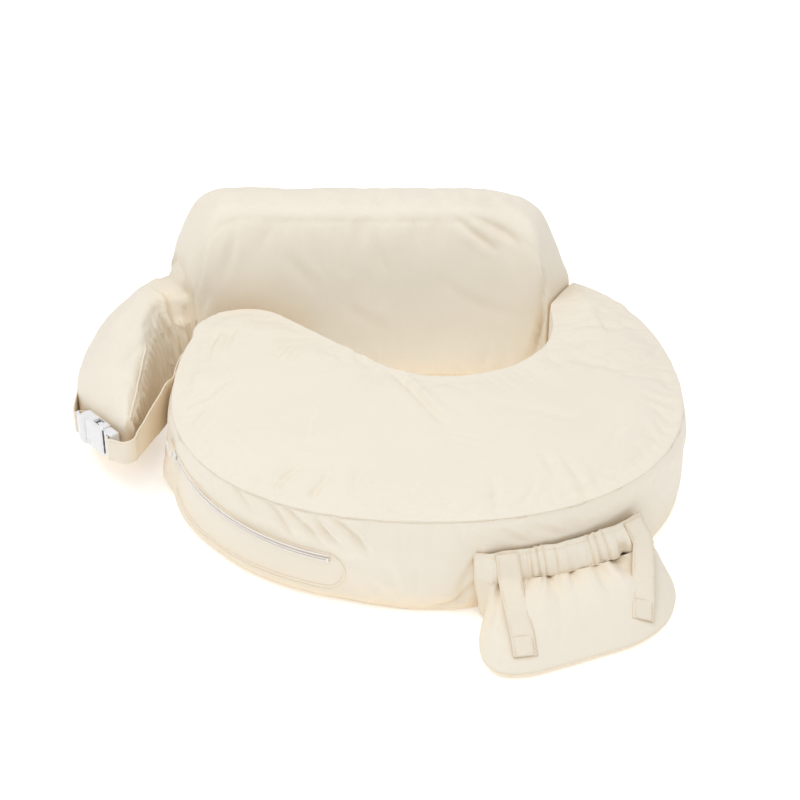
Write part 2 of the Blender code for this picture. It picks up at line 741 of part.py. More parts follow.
def temporary_object(name, shape):
    mesh = bpy.data.meshes.new(name)
    shape.to_mesh(mesh)
    shape.free()
    item = bpy.data.objects.new(name, mesh)
    CUTTERS.objects.link(item)
    return item


def moulding(name, body, additions, cuts, parent):
    """Plastic piece: a body with pieces joined on, then cut out, then placed."""
    blank = temporary_object(name + "_blank", body)
    tools = []
    for operation, shapes in (("UNION", additions), ("DIFFERENCE", cuts)):
        for shape in shapes:
            tool = temporary_object(name + "_tool", shape)
            tools.append(tool)
            step = blank.modifiers.new("cut", "BOOLEAN")
            step.operation = operation
            step.object = tool
            step.solver = "EXACT"
    depsgraph = bpy.context.evaluated_depsgraph_get()
    depsgraph.update()
    result = bmesh.new()
    result.from_mesh(bpy.data.meshes.new_from_object(blank.evaluated_get(depsgraph)))
    bmesh.ops.remove_doubles(result, verts=result.verts, dist=0.005)
    triangulate_large(result)
    place_at_buckle(result)
    for item in tools + [blank]:
        bpy.data.objects.remove(item, do_unlink=True)
    mesh_object(name, result, PLASTIC, parent=parent)


def build_buckle_socket(axis):
    """Socket, on the wing's webbing loop."""
    mouth = box((8, -5.0, -13.4), (43, 5.0, 13.4))
    upper_window = box((22, -4.0, 11.5), (32, 4.0, 24))
    lower_window = box((22, -4.0, -24), (32, 4.0, -11.5))
    webbing_slot = box((46.5, -10, -12.9), (50.0, 10, 12.9))
    moulding("buckle_socket", box((14.0, -6.5, -16.5), (54.0, 6.5, 16.5), bevel=3.0),
             [], [mouth, upper_window, lower_window, webbing_slot], axis)


def build_buckle_insert():
    """Base with a webbing slot, an end bar and a guide tongue; returns its pivot."""
    axis = pivot("buckle_insert_axis", at_buckle(INSERT_AXIS_ALONG, 0, 0))
    tongue = box((11, -1.3, -3.2), (27.5, 1.3, 3.2))
    webbing_slot = box((2.4, -9, -13.2), (7.4, 9, 13.2))
    moulding("buckle_insert", box((-1.5, -5.0, -16.0), (13.5, 5.0, 16.0), bevel=2.4),
             [tongue], [webbing_slot], axis)
    return axis


def build_latch_arm(side, sign, insert_axis):
    """Arm rooted at the insert's base and hooked in the socket's window."""
    root = at_buckle(LATCH_ROOT[0], 0, sign * LATCH_ROOT[1])
    axis = pivot("latch_arm_%s_axis" % side, root, insert_axis)
    shape = bmesh.new()
    near, far = [[shape.verts.new((along, out, sign * up)) for along, up in LATCH_OUTLINE]
                 for out in (-LATCH_HALF_THICK, LATCH_HALF_THICK)]
    shape.faces.new(near)
    shape.faces.new(far)
    for i in range(len(near)):
        j = (i + 1) % len(near)
        shape.faces.new((near[i], near[j], far[j], far[i]))
    triangulate_large(shape)
    place_at_buckle(shape)
    face_outward(shape)
    mesh_object("latch_arm_" + side, shape, PLASTIC, origin=root, parent=axis)


# --------------------------------------------------------- straps and loops
# (along, out) of the wing's loop, through the socket's slot and back to the wing
LOOP_AT_SOCKET = ((48.2, -5.4), (48.2, 0), (48.2, 6.4), (50.0, 8.6),
                  (54.0, 8.6), (59.0, 6.8), (66.0, 6.0))
LOOP_HALF_WIDTH = 12.2
# the strap comes forward, turns round in front of the insert's end bar and
# goes back in through the insert's slot: (x, y), then (along, out)
STRAP_TURN = ((-283.5, 66.0), (-285.5, 58.5), (-291.0, 54.0), (-298.0, 52.6))
STRAP_AT_INSERT = ((-3.0, 5.4), (0.2, 7.6), (3.4, 6.8),
                   (5.0, 3.0), (5.0, -3.0), (3.6, -7.6))
# (lower z, upper z) of the strap's edges, evenly spread from the arm to the insert
STRAP_EDGES = ((49, 94), (49, 94), (49, 93), (48, 90), (46, 82),
               (43.5, 73.5), (42, 68), (42, 67), (42, 67))
PATCH_EDGES = ((44.0, 96.0), (44.0, 96.0))
STRAP_SEWN = part_of(offset_line(OUTER, -2.6), 128, 182, -200)[::-1]
STRAP_LEAVES = STRAP_SEWN[-1]           # where the strap leaves the arm
STRAP_ARRIVES = np.array(STRAP_TURN[0])
TAIL_HALF_WIDTH = 12.0
TAIL_RISE = 2.6                         # the tail climbs by this per point


def ribbon(name, line, edges, **options):
    """An upright band; edges are (lower z, upper z) spread evenly along it."""
    edges = np.array(edges, float)
    heights = interp_columns(np.linspace(0, 1, len(line)), np.linspace(0, 1, len(edges)), edges)
    ruled_sheet(name, raised(line, heights[:, 0]), raised(line, heights[:, 1]), **options)


def build_wing_loop(axis):
    """Webbing that ties the socket to the wing's outer side."""
    on_wing = part_of(offset_line(BACK_OUT, 1.7), 150, 196, -300)[::-1]
    line = smooth_line([buckle_plan(*point) for point in LOOP_AT_SOCKET] + on_wing, 26)
    edges = (BUCKLE_Z - LOOP_HALF_WIDTH, BUCKLE_Z + LOOP_HALF_WIDTH)
    ribbon("wing_webbing_loop", line, [edges] * 2, thickness=1.2, side=0.0, parent=axis)


def build_strap():
    """Strap and its anchor patch on the left arm."""
    patch = part_of(offset_line(OUTER, -0.4), 120, 186, -200)
    ribbon("strap_anchor_patch", patch, PATCH_EDGES, finish=LINING, thickness=1.2, side=1.0)
    free = [STRAP_LEAVES + (STRAP_ARRIVES - STRAP_LEAVES) * t for t in (0.12, 0.35, 0.6, 0.85)]
    free[0][0] -= 1.5
    at_insert = [buckle_plan(*point) for point in STRAP_AT_INSERT]
    line = smooth_line(STRAP_SEWN + free + list(STRAP_TURN) + at_insert, 64)
    ribbon("strap_webbing", line, STRAP_EDGES, thickness=1.3, side=0.0)


def build_strap_tail(insert_axis):
    """The free tail lies along the strap on the wing's side."""
    run = unit(STRAP_LEAVES - STRAP_ARRIVES)
    aside = np.array([-run[1], run[0]]) * 2.3
    centre = (*(STRAP_ARRIVES + run * 14), BUCKLE_Z)
    axis = pivot("strap_tail_axis", centre, insert_axis)
    line = [STRAP_ARRIVES + run * s + aside for s in np.linspace(9, 46, 5)]
    climb = BUCKLE_Z + TAIL_RISE * np.arange(len(line))
    rows = [raised(line, climb + up) for up in (TAIL_HALF_WIDTH, 0.0, -TAIL_HALF_WIDTH)]
    sheet("strap_tail", rows, thickness=1.2, side=0.0, origin=centre, parent=axis)


# -------------------------------------------------------------------- pocket
POCKET_LEFT_X = 52.0        # left end of the mouth
MOUTH_RIGHT_X = 202.0
SWING_RIGHT_X = 206.0       # right end of the line the pocket swings about
POCKET_COLUMNS = 20
FLARE = 12.0                # how much further the mouth stands off at its right end
# plan of the pocket's foot, from its left end round the front to its right end
POCKET_FOOT = ((50, -140), (47, -172), (50, -199), (63, -214), (84, -215.5),
               (112, -207), (148, -192.5), (182, -175), (205, -151), (221, -121),
               (228, -92), (224, -62), (214, -44))
FRONT_TOP_Z, FRONT_FOOT_Z = 41.5, 3.2   # front panels, below the casing
FRONT_BULGE = 7.0
CASING_LOW_Z = 42.6
ELASTIC_LOW_Z, ELASTIC_TOP_Z = 45.5, 63.5
# name, start and end along the mouth (0 left, 1 right), columns
FRONT_PANELS = (("pocket_front_panel", 0.17, 0.83, 16),
                ("pocket_side_left", 0.0, 0.165, 6),
                ("pocket_side_right", 0.835, 1.0, 6))
TAPE_WIDTH = 21.0
# name, place along the mouth at the top, at the lower end, how far down it ends
TAPES = (("pocket_tape_left", 0.13, 0.262, 0.90),
         ("pocket_tape_right", 0.80, 0.635, 0.80))


def front_oval(x_start, x_end, count):
    angles = np.linspace(front_angle(x_start), front_angle(x_end), count)
    return np.array([oval(a) for a in angles])


def band_line(x_start, x_end, out, count, flare=0.0):
    """A line outside the side band; flare is added towards its right end."""
    line = resample(front_oval(x_start, x_end, count), count)
    outward = offset_line(line, 1.0) - line
    return line + outward * (out + flare * np.linspace(0, 1, count) ** 2)[:, None]


def mouth_line(out, count, x_start=POCKET_LEFT_X, x_end=MOUTH_RIGHT_X):
    return band_line(x_start, x_end, out, count, FLARE)


FRONT_TOP = mouth_line(15.5, POCKET_COLUMNS)
FRONT_FOOT = smooth_line(POCKET_FOOT, POCKET_COLUMNS)
CASING_TOP = mouth_line(7.0, 26)
CASING_LOW = mouth_line(15.8, 26)


def front_point(across, down, lift=0.0):
    """Pocket's front: across the mouth 0..1, down from the casing to the foot 0..1."""
    index = across * (POCKET_COLUMNS - 1)
    top, foot = point_on(FRONT_TOP, index), point_on(FRONT_FOOT, index)
    bulge = (FRONT_BULGE * math.sin(math.pi * down)
             * (0.4 + 0.6 * math.sin(math.pi * across)))
    z = FRONT_TOP_Z + (FRONT_FOOT_Z - FRONT_TOP_Z) * down + bulge
    return np.array((*(top + (foot - top) * down), z + lift))


def pocket_axis():
    """On a level line that just clears the side band."""
    start, end = (np.array(oval(front_angle(x))) for x in (POCKET_LEFT_X, SWING_RIGHT_X))
    along = unit(end - start)
    outward = np.array([along[1], -along[0]])
    bulge = max((front_oval(POCKET_LEFT_X, SWING_RIGHT_X, 60) - start) @ outward)
    return pivot("pocket_axis", (*(start + outward * (bulge + 0.9)), POCKET_Z + 1.0))


def build_pocket_body(axis):
    """Front, side, back and base panels."""
    for name, start, end, columns in FRONT_PANELS:
        sheet(name, [[front_point(across, down) for across in np.linspace(start, end, columns)]
                     for down in np.linspace(0, 1, 6)], parent=axis)
    back = band_line(54.0, 204.0, 1.6, POCKET_COLUMNS)
    sheet("pocket_back_panel", [raised(back, z) for z in (2.2, 34.0, POCKET_Z - 1.0)],
          LINING, side=1.0, parent=axis)
    base = np.vstack([offset_line(FRONT_FOOT, -2.4), band_line(60.0, 206.0, 4.2, 14)[::-1]])
    flat_panel("pocket_base_panel", base, 0.2, 1.2, LINING, axis)


def build_pocket_mouth(axis):
    """Casing round the mouth and the elastic inside it."""
    ruled_sheet("pocket_casing", raised(CASING_LOW, CASING_LOW_Z),
                raised(CASING_TOP, POCKET_Z), side=1.0, parent=axis)
    ruled_sheet("pocket_elastic",
                raised(mouth_line(11.6, 24, 55.0, 200.0), ELASTIC_LOW_Z),
                raised(mouth_line(5.0, 24, 55.0, 200.0), ELASTIC_TOP_Z),
                finish=ELASTIC, thickness=1.0, side=1.0, parent=axis)


def tape_edge(top_across, end_across, end_down, shift):
    """One edge of a tape, shifted sideways by shift (mm) from its middle."""
    index = (top_across + shift / 160.0) * (len(CASING_TOP) - 1)
    high, low = point_on(CASING_TOP, index), point_on(CASING_LOW, index)
    outward = unit(low - high)
    points = [(*(high + outward * 1.9), POCKET_Z - 0.6),
              (*((high + low) / 2 + outward * 2.1), 55.5),
              (*(low + outward * 2.3), 43.6)]
    for down in np.linspace(0.12, end_down, 6):
        across = top_across + (end_across - top_across) * down / end_down
        nearby = front_point(min(across + 0.02, 1), down) - front_point(across - 0.02, down)
        span = np.hypot(*nearby[:2]) / 0.04         # mm per unit of across
        x_y_z = front_point(across + shift / span, down, lift=4.4)
        points.append((*(x_y_z[:2] + outward * 1.6), x_y_z[2]))
    return points


def build_pocket_tapes(axis):
    """Two tapes, over the casing and down the pocket's front."""
    for name, *course in TAPES:
        edges = [tape_edge(*course, shift) for shift in (-TAPE_WIDTH / 2, TAPE_WIDTH / 2)]
        sheet(name, edges, thickness=1.1, side=1.0, parent=axis)


# --------------------------------------------------------------------- build
def build_pillow():
    build_platform_panels()
    build_platform_foam()
    build_foam_divider()
    cut_window(build_side_bands())
    build_placket()
    build_zip()
    build_zip_pull(build_zip_slider())

    back_axis = pivot("back_support_axis", (*HINGE_AXIS, 0))
    build_back_foam(back_axis)
    build_back_cover(back_axis)
    build_wing(back_axis)

    build_buckle_socket(back_axis)
    insert_axis = build_buckle_insert()
    build_latch_arm("upper", 1.0, insert_axis)
    build_latch_arm("lower", -1.0, insert_axis)
    build_wing_loop(back_axis)
    build_strap()
    build_strap_tail(insert_axis)

    swing_axis = pocket_axis()
    build_pocket_body(swing_axis)
    build_pocket_mouth(swing_axis)
    build_pocket_tapes(swing_axis)


build_pillow()
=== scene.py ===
"""Looks of a wrap-around nursing pillow: cover cloth, zip, strap, buckle and pocket.

The platform is an oval cushion open at the rear, where a waist is cut into it. From its right
rear end (the hinge line) a higher back support runs left along the rear and comes forward on the
left side as a wing. A strap and buckle join the wing's end to the platform. The zip lies at the
platform's left front, the pocket at its right front.
+X is right, -Y is front, +Z is up. Lengths are millimetres; meshes are made in metres.
"""
import functools
import math

import bpy
import bmesh
import numpy as np
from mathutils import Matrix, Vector
from mathutils.bvhtree import BVHTree
from mathutils.geometry import delaunay_2d_cdt

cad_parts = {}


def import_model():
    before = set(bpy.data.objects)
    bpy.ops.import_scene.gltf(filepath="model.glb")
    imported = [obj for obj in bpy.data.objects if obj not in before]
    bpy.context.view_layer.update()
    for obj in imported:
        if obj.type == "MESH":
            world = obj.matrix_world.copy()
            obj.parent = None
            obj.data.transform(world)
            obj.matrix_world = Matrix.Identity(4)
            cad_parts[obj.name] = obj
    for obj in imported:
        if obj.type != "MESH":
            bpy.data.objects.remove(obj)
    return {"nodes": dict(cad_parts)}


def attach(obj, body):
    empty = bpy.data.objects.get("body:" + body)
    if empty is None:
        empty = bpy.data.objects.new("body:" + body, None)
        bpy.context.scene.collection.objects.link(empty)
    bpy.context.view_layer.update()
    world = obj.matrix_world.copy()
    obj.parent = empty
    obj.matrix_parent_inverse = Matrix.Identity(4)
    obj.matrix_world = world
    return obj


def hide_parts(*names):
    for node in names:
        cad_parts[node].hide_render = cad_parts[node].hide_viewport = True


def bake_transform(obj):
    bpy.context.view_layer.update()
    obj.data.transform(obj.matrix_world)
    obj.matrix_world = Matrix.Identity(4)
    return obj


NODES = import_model()["nodes"]
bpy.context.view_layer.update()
MM = 0.001

# ------------------------------------------------------------ driving sizes
# outer oval of the platform: a superellipse, deeper behind OVAL_Y than in front of it
HALF_W, DEPTH_FRONT, DEPTH_REAR, OVAL_Y, OVAL_POWER = 252.0, 236.0, 262.0, 112.0, 2.25
# circles of the inner outline: centre x, centre y, radius
TIP = (-188.0, 206.0, 55.0)
WAIST = (22.0, 234.0, 110.0)
# ends of the hinge line between platform and back
HINGE_IN, HINGE_OUT = np.array([132.0, 270.0]), np.array([160.3, 326.3])
HINGE_SPOT = (146, 298)
HINGE_GAP = 0.8
BUCKLE_AT, BUCKLE_DIR, BUCKLE_Z = (-306.0, 64.0), (-0.655, 0.7556), 54.5
# the zip runs on a cylinder and falls slightly along its length
ZIP_C, ZIP_R, ZIP_Z, ZIP_FALL = (-41.7, 90.1), 208.6, 59.0, 0.08
ZIP_START, ZIP_END = math.radians(194.5), math.radians(256.5)
WINDOW_LOW, WINDOW_RISE = 18.0, 4.5      # window's lower edge; upper edge above the zip
POCKET_Z, CASING_Z = 66.0, 42.0          # top of the pocket, foot of its casing


# ------------------------------------------------------------- curve helpers
def arc_lengths(pts):
    return np.r_[0, np.cumsum(np.sqrt((np.diff(pts, axis=0) ** 2).sum(1)))]


def interp_rows(t, knots, rows):
    """Interpolate every column of rows at t."""
    return np.stack([np.interp(t, knots, rows[:, k]) for k in range(rows.shape[1])], -1)


def resample(pts, n):
    pts = np.array(pts, float)
    dist = arc_lengths(pts)
    return interp_rows(np.linspace(0, dist[-1], n), dist, pts)


def spline(controls, steps):
    """Catmull-Rom curve through the controls."""
    c = np.array(controls, float)
    c = np.vstack([2 * c[0] - c[1], c, 2 * c[-1] - c[-2]])
    out = []
    for i in range(1, len(c) - 2):
        p0, p1, p2, p3 = c[i - 1:i + 3]
        for t in np.linspace(0, 1, steps, endpoint=False):
            out.append(0.5 * (2 * p1 + (p2 - p0) * t + (2 * p0 - 5 * p1 + 4 * p2 - p3) * t ** 2
                              + (3 * p1 - p0 - 3 * p2 + p3) * t ** 3))
    out.append(c[-2])
    return np.array(out)


def smooth_line(controls, n):
    return resample(spline(controls, 12), n)


def eased(values, times):
    """Smooth a line of values, its ends held."""
    values = values.copy()
    for _ in range(times):
        values[1:-1] = (values[:-2] + 2 * values[1:-1] + values[2:]) / 4
    return values


def unit(vectors):
    return vectors / np.maximum(np.linalg.norm(vectors, axis=1), 1e-9)[:, None]


def left_normals(line, closed=False):
    line = np.array(line, float)[:, :2]
    if closed:
        run = np.roll(line, -1, 0) - np.roll(line, 1, 0)
    else:
        run = np.gradient(line, axis=0)
    run /= np.maximum(np.hypot(run[:, 0], run[:, 1]), 1e-9)[:, None]
    return np.stack([-run[:, 1], run[:, 0]], 1)


def to_right(line, distance):
    """The line moved to its right; a negative distance moves it left."""
    line = np.array(line, float)
    return line - left_normals(line) * distance


def smoothstep(x):
    x = np.clip(x, 0, 1)
    return x * x * (3 - 2 * x)


def bell(x, width):
    return np.exp(-(x / width) ** 2)


def signed_power(value, power):
    return math.copysign(abs(value) ** power, value)


# -------------------------------------------------------------- plan outlines
def oval(angle):
    s = math.sin(angle)
    depth = DEPTH_FRONT if s < 0 else DEPTH_REAR
    return (HALF_W * signed_power(math.cos(angle), 2 / OVAL_POWER),
            OVAL_Y + depth * signed_power(s, 2 / OVAL_POWER))


def oval_front_angle(x):
    return -math.acos(signed_power(x / HALF_W, OVAL_POWER / 2))


def oval_line(n):
    return np.array([oval(a) for a in np.linspace(OVAL_START, OVAL_END, n)])


def arc_points(circle, angles):
    x, y, radius = circle
    return [(x + radius * math.cos(a), y + radius * math.sin(a)) for a in angles]


def rear_power(length, full):
    return (length / full) ** (OVAL_POWER / 2)


# the outer side walks clockwise from the hinge round the front to the left tip
OVAL_START = math.atan2(rear_power(HINGE_OUT[1] - OVAL_Y, DEPTH_REAR),
                        rear_power(HINGE_OUT[0], HALF_W))
OVAL_END = -math.pi - math.asin(rear_power(TIP[1] - OVAL_Y, DEPTH_REAR))
OUTER = oval_line(900)
# tip and waist circles touch at this angle
DX, DY = WAIST[0] - TIP[0], WAIST[1] - TIP[1]
MEET = math.atan2(DY, DX) + math.acos((TIP[2] + WAIST[2]) / math.hypot(DX, DY))
INNER = np.array(arc_points(TIP, math.pi - np.linspace(0, math.pi - MEET, 40))
                 + arc_points(WAIST, np.linspace(MEET + math.pi, 2 * math.pi, 80))
                 + [tuple(HINGE_IN)])
HINGE_DIR = (HINGE_OUT - HINGE_IN) / np.hypot(*(HINGE_OUT - HINGE_IN))
HINGE_N = np.array([HINGE_DIR[1], -HINGE_DIR[0]])      # towards the platform


def hinge_distance(pts):
    """Plan distance from the hinge line, positive on the platform's side."""
    return (pts[:, :2] - HINGE_IN) @ HINGE_N


def near_hinge(pts, reach_x, reach_y):
    return (np.abs(pts[:, 0] - HINGE_SPOT[0]) < reach_x) & \
        (np.abs(pts[:, 1] - HINGE_SPOT[1]) < reach_y)


# ------------------------------------------------------------------ materials
def new_material(name):
    mat = bpy.data.materials.new(name)
    mat.use_nodes = True
    return mat, mat.node_tree, mat.node_tree.nodes["Principled BSDF"]


def set_inputs(shader_node, values):
    for key, value in values.items():
        shader_node.inputs[key].default_value = value


def node(nt, kind, **inputs):
    made = nt.nodes.new(kind)
    set_inputs(made, inputs)
    return made


def noise(nt, coords, **inputs):
    made = node(nt, "ShaderNodeTexNoise", **inputs)
    nt.links.new(coords, made.inputs["Vector"])
    return made.outputs["Fac"]


def bands(nt, coords, direction, **inputs):
    made = node(nt, "ShaderNodeTexWave", **inputs)
    made.wave_type = "BANDS"
    made.bands_direction = direction
    nt.links.new(coords, made.inputs["Vector"])
    return made.outputs["Fac"]


def math_node(nt, operation, *values, clamp=False):
    made = nt.nodes.new("ShaderNodeMath")
    made.operation = operation
    made.use_clamp = clamp
    for i, value in enumerate(values):
        if hasattr(value, "links"):
            nt.links.new(value, made.inputs[i])
        else:
            made.inputs[i].default_value = value
    return made.outputs[0]


def weighted(nt, first, weight1, second, weight2):
    return math_node(nt, "ADD", math_node(nt, "MULTIPLY", first, weight1),
                     math_node(nt, "MULTIPLY", second, weight2))


def mix_colour(nt, factor, low, high):
    made = nt.nodes.new("ShaderNodeMix")
    made.data_type = "RGBA"
    nt.links.new(factor, made.inputs["Factor"])
    for socket, value in ((made.inputs[6], low), (made.inputs[7], high)):
        if hasattr(value, "links"):
            nt.links.new(value, socket)
        else:
            socket.default_value = (*value, 1.0)
    return made.outputs[2]


def add_bump(nt, shader, height, **inputs):
    made = node(nt, "ShaderNodeBump", **inputs)
    nt.links.new(height, made.inputs["Height"])
    nt.links.new(made.outputs["Normal"], shader.inputs["Normal"])


def cloth_material(name, light, dark, pitch=0.0011, sheen=0.25, bump=0.35):
    """Cotton cloth: ribs at a pitch in metres, thread noise, slow tone changes and painted shade in
    folds.
    """
    mat, nt, shader = new_material(name)
    coords = nt.nodes.new("ShaderNodeTexCoord").outputs["Object"]
    ribs = bands(nt, coords, "DIAGONAL",
                 **{"Scale": 0.6283 / pitch, "Distortion": 1.2, "Detail": 1.0, "Detail Scale": 2.0})
    cross = bands(nt, coords, "Z", Scale=0.3142 / (pitch * 0.8), Distortion=0.8)
    fine = noise(nt, coords, Scale=1500.0, Detail=3.0, Roughness=0.6)
    slow = noise(nt, coords, Scale=9.0, Detail=4.0, Roughness=0.55)
    slub = noise(nt, coords, Scale=160.0, Detail=2.0, Roughness=0.5)
    weave = weighted(nt, ribs, 0.6, cross, 0.4)
    tone = weighted(nt, slow, 0.75, slub, 0.25)
    # more contrast: scaled by 1.6, moved down by 0.35
    tone = math_node(nt, "MULTIPLY_ADD", tone, 1.6, -0.35, clamp=True)
    shade = weighted(nt, tone, 0.65, weave, 0.35)
    base = mix_colour(nt, shade, dark, light)
    # painted shade: where ambient occlusion finds folds and gaps, the base colour is mixed towards
    # a darker, warmer tint, standing in for light that has bounced between folds and taken on the
    # cloth's own colour
    occlusion = node(nt, "ShaderNodeAmbientOcclusion", Distance=0.05)
    occlusion.samples = 6
    painted_fold_shade = math_node(nt, "SUBTRACT", 1.0, occlusion.outputs["AO"])
    painted_fold_shade = math_node(nt, "MULTIPLY", painted_fold_shade, 1.0, clamp=True)
    painted_fold_tint = tuple(c * k for c, k in zip(light, (0.98, 0.86, 0.70)))
    nt.links.new(mix_colour(nt, painted_fold_shade, base, painted_fold_tint), shader.inputs["Base Color"])
    add_bump(nt, shader, weighted(nt, weave, 0.7, fine, 0.5), Strength=bump, Distance=0.0004)
    set_inputs(shader, {"Roughness": 0.88, "Sheen Weight": sheen, "Sheen Roughness": 0.5,
                        "Sheen Tint": (1.0, 0.97, 0.92, 1.0), "Specular IOR Level": 0.2})
    return mat


def plastic_material(name, light, dark, rough=0.3):
    mat, nt, shader = new_material(name)
    coords = nt.nodes.new("ShaderNodeTexCoord").outputs["Object"]
    slow = noise(nt, coords, Scale=60.0, Detail=3.0)
    fine = noise(nt, coords, Scale=1800.0, Detail=2.0)
    nt.links.new(mix_colour(nt, slow, dark, light), shader.inputs["Base Color"])
    # roughness wanders 0.08 either side of its mean
    uneven = math_node(nt, "ADD", math_node(nt, "MULTIPLY", slow, 0.16), rough - 0.08)
    nt.links.new(uneven, shader.inputs["Roughness"])
    add_bump(nt, shader, fine, Strength=0.12, Distance=0.0002)
    set_inputs(shader, {"Subsurface Weight": 0.08, "Subsurface Radius": (0.004, 0.004, 0.004),
                        "Coat Weight": 0.15})
    return mat


COVER = cloth_material("cover_twill", light=(0.855, 0.80, 0.695), dark=(0.80, 0.742, 0.635))
LINING = cloth_material("lining_cotton", light=(0.84, 0.78, 0.68), dark=(0.77, 0.70, 0.59),
                        pitch=0.0009, bump=0.25)
STRAP = cloth_material("strap_twill", light=(0.85, 0.785, 0.67), dark=(0.78, 0.71, 0.595),
                       pitch=0.0013, bump=0.5)
THREAD = cloth_material("stitch_thread", light=(0.84, 0.775, 0.655), dark=(0.79, 0.72, 0.60),
                        pitch=0.0005, sheen=0.4, bump=0.2)
# painted shade: the seam cords wear a cloth darker than the cover, standing in for the shadow along
# each seam's groove
SEAM = cloth_material("seam_shadow", light=(0.80, 0.735, 0.62), dark=(0.75, 0.685, 0.57),
                      bump=0.2)
ZIP_TAPE = cloth_material("zip_tape_polyester", light=(0.875, 0.83, 0.775),
                          dark=(0.83, 0.785, 0.73), pitch=0.0008, sheen=0.35, bump=0.3)
# elastic and foam complete the set; no visible piece wears them
cloth_material("knitted_elastic", light=(0.86, 0.84, 0.80), dark=(0.78, 0.75, 0.70),
               pitch=0.0016, bump=0.6)
cloth_material("foam_cells", light=(0.88, 0.82, 0.62), dark=(0.80, 0.73, 0.52),
               pitch=0.002, bump=0.8)
PLASTIC = plastic_material("buckle_acetal", light=(0.80, 0.80, 0.815), dark=(0.74, 0.74, 0.76))
COIL = plastic_material("zip_coil_nylon", light=(0.885, 0.855, 0.82), dark=(0.85, 0.82, 0.78),
                        rough=0.5)
ENAMEL = plastic_material("zip_enamel", light=(0.86, 0.84, 0.81), dark=(0.80, 0.78, 0.75))


# --------------------------------------------------------------- mesh helpers
def make(name, verts, faces, mat, smooth=True):
    """A mesh object from vertices in mm."""
    mesh = bpy.data.meshes.new(name)
    mesh.from_pydata([tuple(v) for v in np.asarray(verts, float) * MM], [],
                     [tuple(int(i) for i in f) for f in faces])
    mesh.validate()
    mesh.update()
    mesh.materials.append(mat)
    if smooth:
        shade_smooth(mesh)
    ob = bpy.data.objects.new(name, mesh)
    bpy.context.scene.collection.objects.link(ob)
    return ob


def shade_smooth(mesh):
    mesh.polygons.foreach_set("use_smooth", [True] * len(mesh.polygons))


def recalc(ob):
    """Merge doubled vertices and turn all faces outwards."""
    bm = bmesh.new()
    bm.from_mesh(ob.data)
    bmesh.ops.remove_doubles(bm, verts=bm.verts, dist=1e-6)
    bmesh.ops.recalc_face_normals(bm, faces=bm.faces)
    if bm.calc_volume(signed=True) < 0:
        bmesh.ops.reverse_faces(bm, faces=bm.faces)
    bm.to_mesh(ob.data)
    bm.free()
    ob.data.update()
    return ob


def read_vectors(items, attribute):
    flat = np.zeros(len(items) * 3)
    items.foreach_get(attribute, flat)
    return flat.reshape(-1, 3)


def points_of(ob):
    return read_vectors(ob.data.vertices, "co") / MM


def set_points(ob, pts):
    ob.data.vertices.foreach_set("co", (np.asarray(pts) * MM).ravel())
    ob.data.update()


def normals_of(ob):
    return read_vectors(ob.data.vertex_normals, "vector")


def bake(ob):
    """Apply the modifiers by evaluating the object once."""
    graph = bpy.context.evaluated_depsgraph_get()
    graph.update()
    mesh = bpy.data.meshes.new_from_object(ob.evaluated_get(graph))
    old = ob.data
    ob.modifiers.clear()
    ob.data = mesh
    bpy.data.meshes.remove(old)


def subdivide(ob):
    mod = ob.modifiers.new("sub", "SUBSURF")
    mod.levels = mod.render_levels = 1
    mod.subdivision_type = "CATMULL_CLARK"
    bake(ob)
    recalc(ob)


def thicken(ob, thickness, offset=0.0, rounded=False):
    """Give a sheet its thickness and, if asked, rounded edges."""
    mod = ob.modifiers.new("thick", "SOLIDIFY")
    mod.thickness = thickness * MM
    mod.offset = offset
    if rounded:
        edge = ob.modifiers.new("edge", "BEVEL")
        edge.width = thickness * 0.35 * MM
        edge.segments = 2
        edge.limit_method = "ANGLE"
        edge.angle_limit = math.radians(50)
    bake(ob)
    recalc(ob)
    if rounded:
        shade_smooth(ob.data)


def grid_faces(rows, cols, wrap=False):
    faces = []
    for r in range(rows - 1):
        for c in range(cols - (0 if wrap else 1)):
            d = (c + 1) % cols
            faces.append((r * cols + c, r * cols + d, (r + 1) * cols + d, (r + 1) * cols + c))
    return faces


def prism_faces(rows, cols):
    """A closed ring grid with a flat face at each end."""
    last = (rows - 1) * cols
    return grid_faces(rows, cols, wrap=True) + [
        tuple(range(cols)), tuple(last + c for c in reversed(range(cols)))]


def shifted(faces, base):
    return [tuple(base + i for i in face) for face in faces]


def close_end(verts, faces, first, cols, reverse=False):
    """Close a ring with a fan about its centre; returns the longer vertex list."""
    verts = np.vstack([verts, [verts[first:first + cols].mean(0)]])
    centre = len(verts) - 1
    for j in range(cols):
        face = (first + j, first + (j + 1) % cols, centre)
        faces.append(tuple(reversed(face)) if reverse else face)
    return verts


def bvh_of(ob):
    return BVHTree.FromPolygons([tuple(p) for p in points_of(ob)],
                                [tuple(f.vertices) for f in ob.data.polygons])


def snap(bvh, pts, out=0.0):
    """Nearest surface points, moved out along the normals, and those normals."""
    found, normals = [], []
    for p in pts:
        place, normal, _, _ = bvh.find_nearest(Vector(p))
        found.append(np.array(place) + np.array(normal) * out)
        normals.append(np.array(normal))
    return np.array(found), np.array(normals)


# --------------------------------------------------------- noise and creases
@functools.lru_cache(maxsize=None)
def wave_set(length, seed, n, spread):
    rng = np.random.RandomState(seed)
    direction = unit(rng.normal(size=(n, 3)))
    number = 2 * math.pi / (length * rng.uniform(1 - spread, 1 + spread, n))
    return direction * number[:, None], rng.uniform(0, 2 * math.pi, n)


def waves(pts, length, seed, n=10, spread=0.45):
    """Smooth noise of about -1..1 from a fixed set of sine waves; pts in mm."""
    vectors, phase = wave_set(length, seed, n, spread)
    return np.sin(pts @ vectors.T + phase).sum(1) / math.sqrt(n / 2) * 0.5


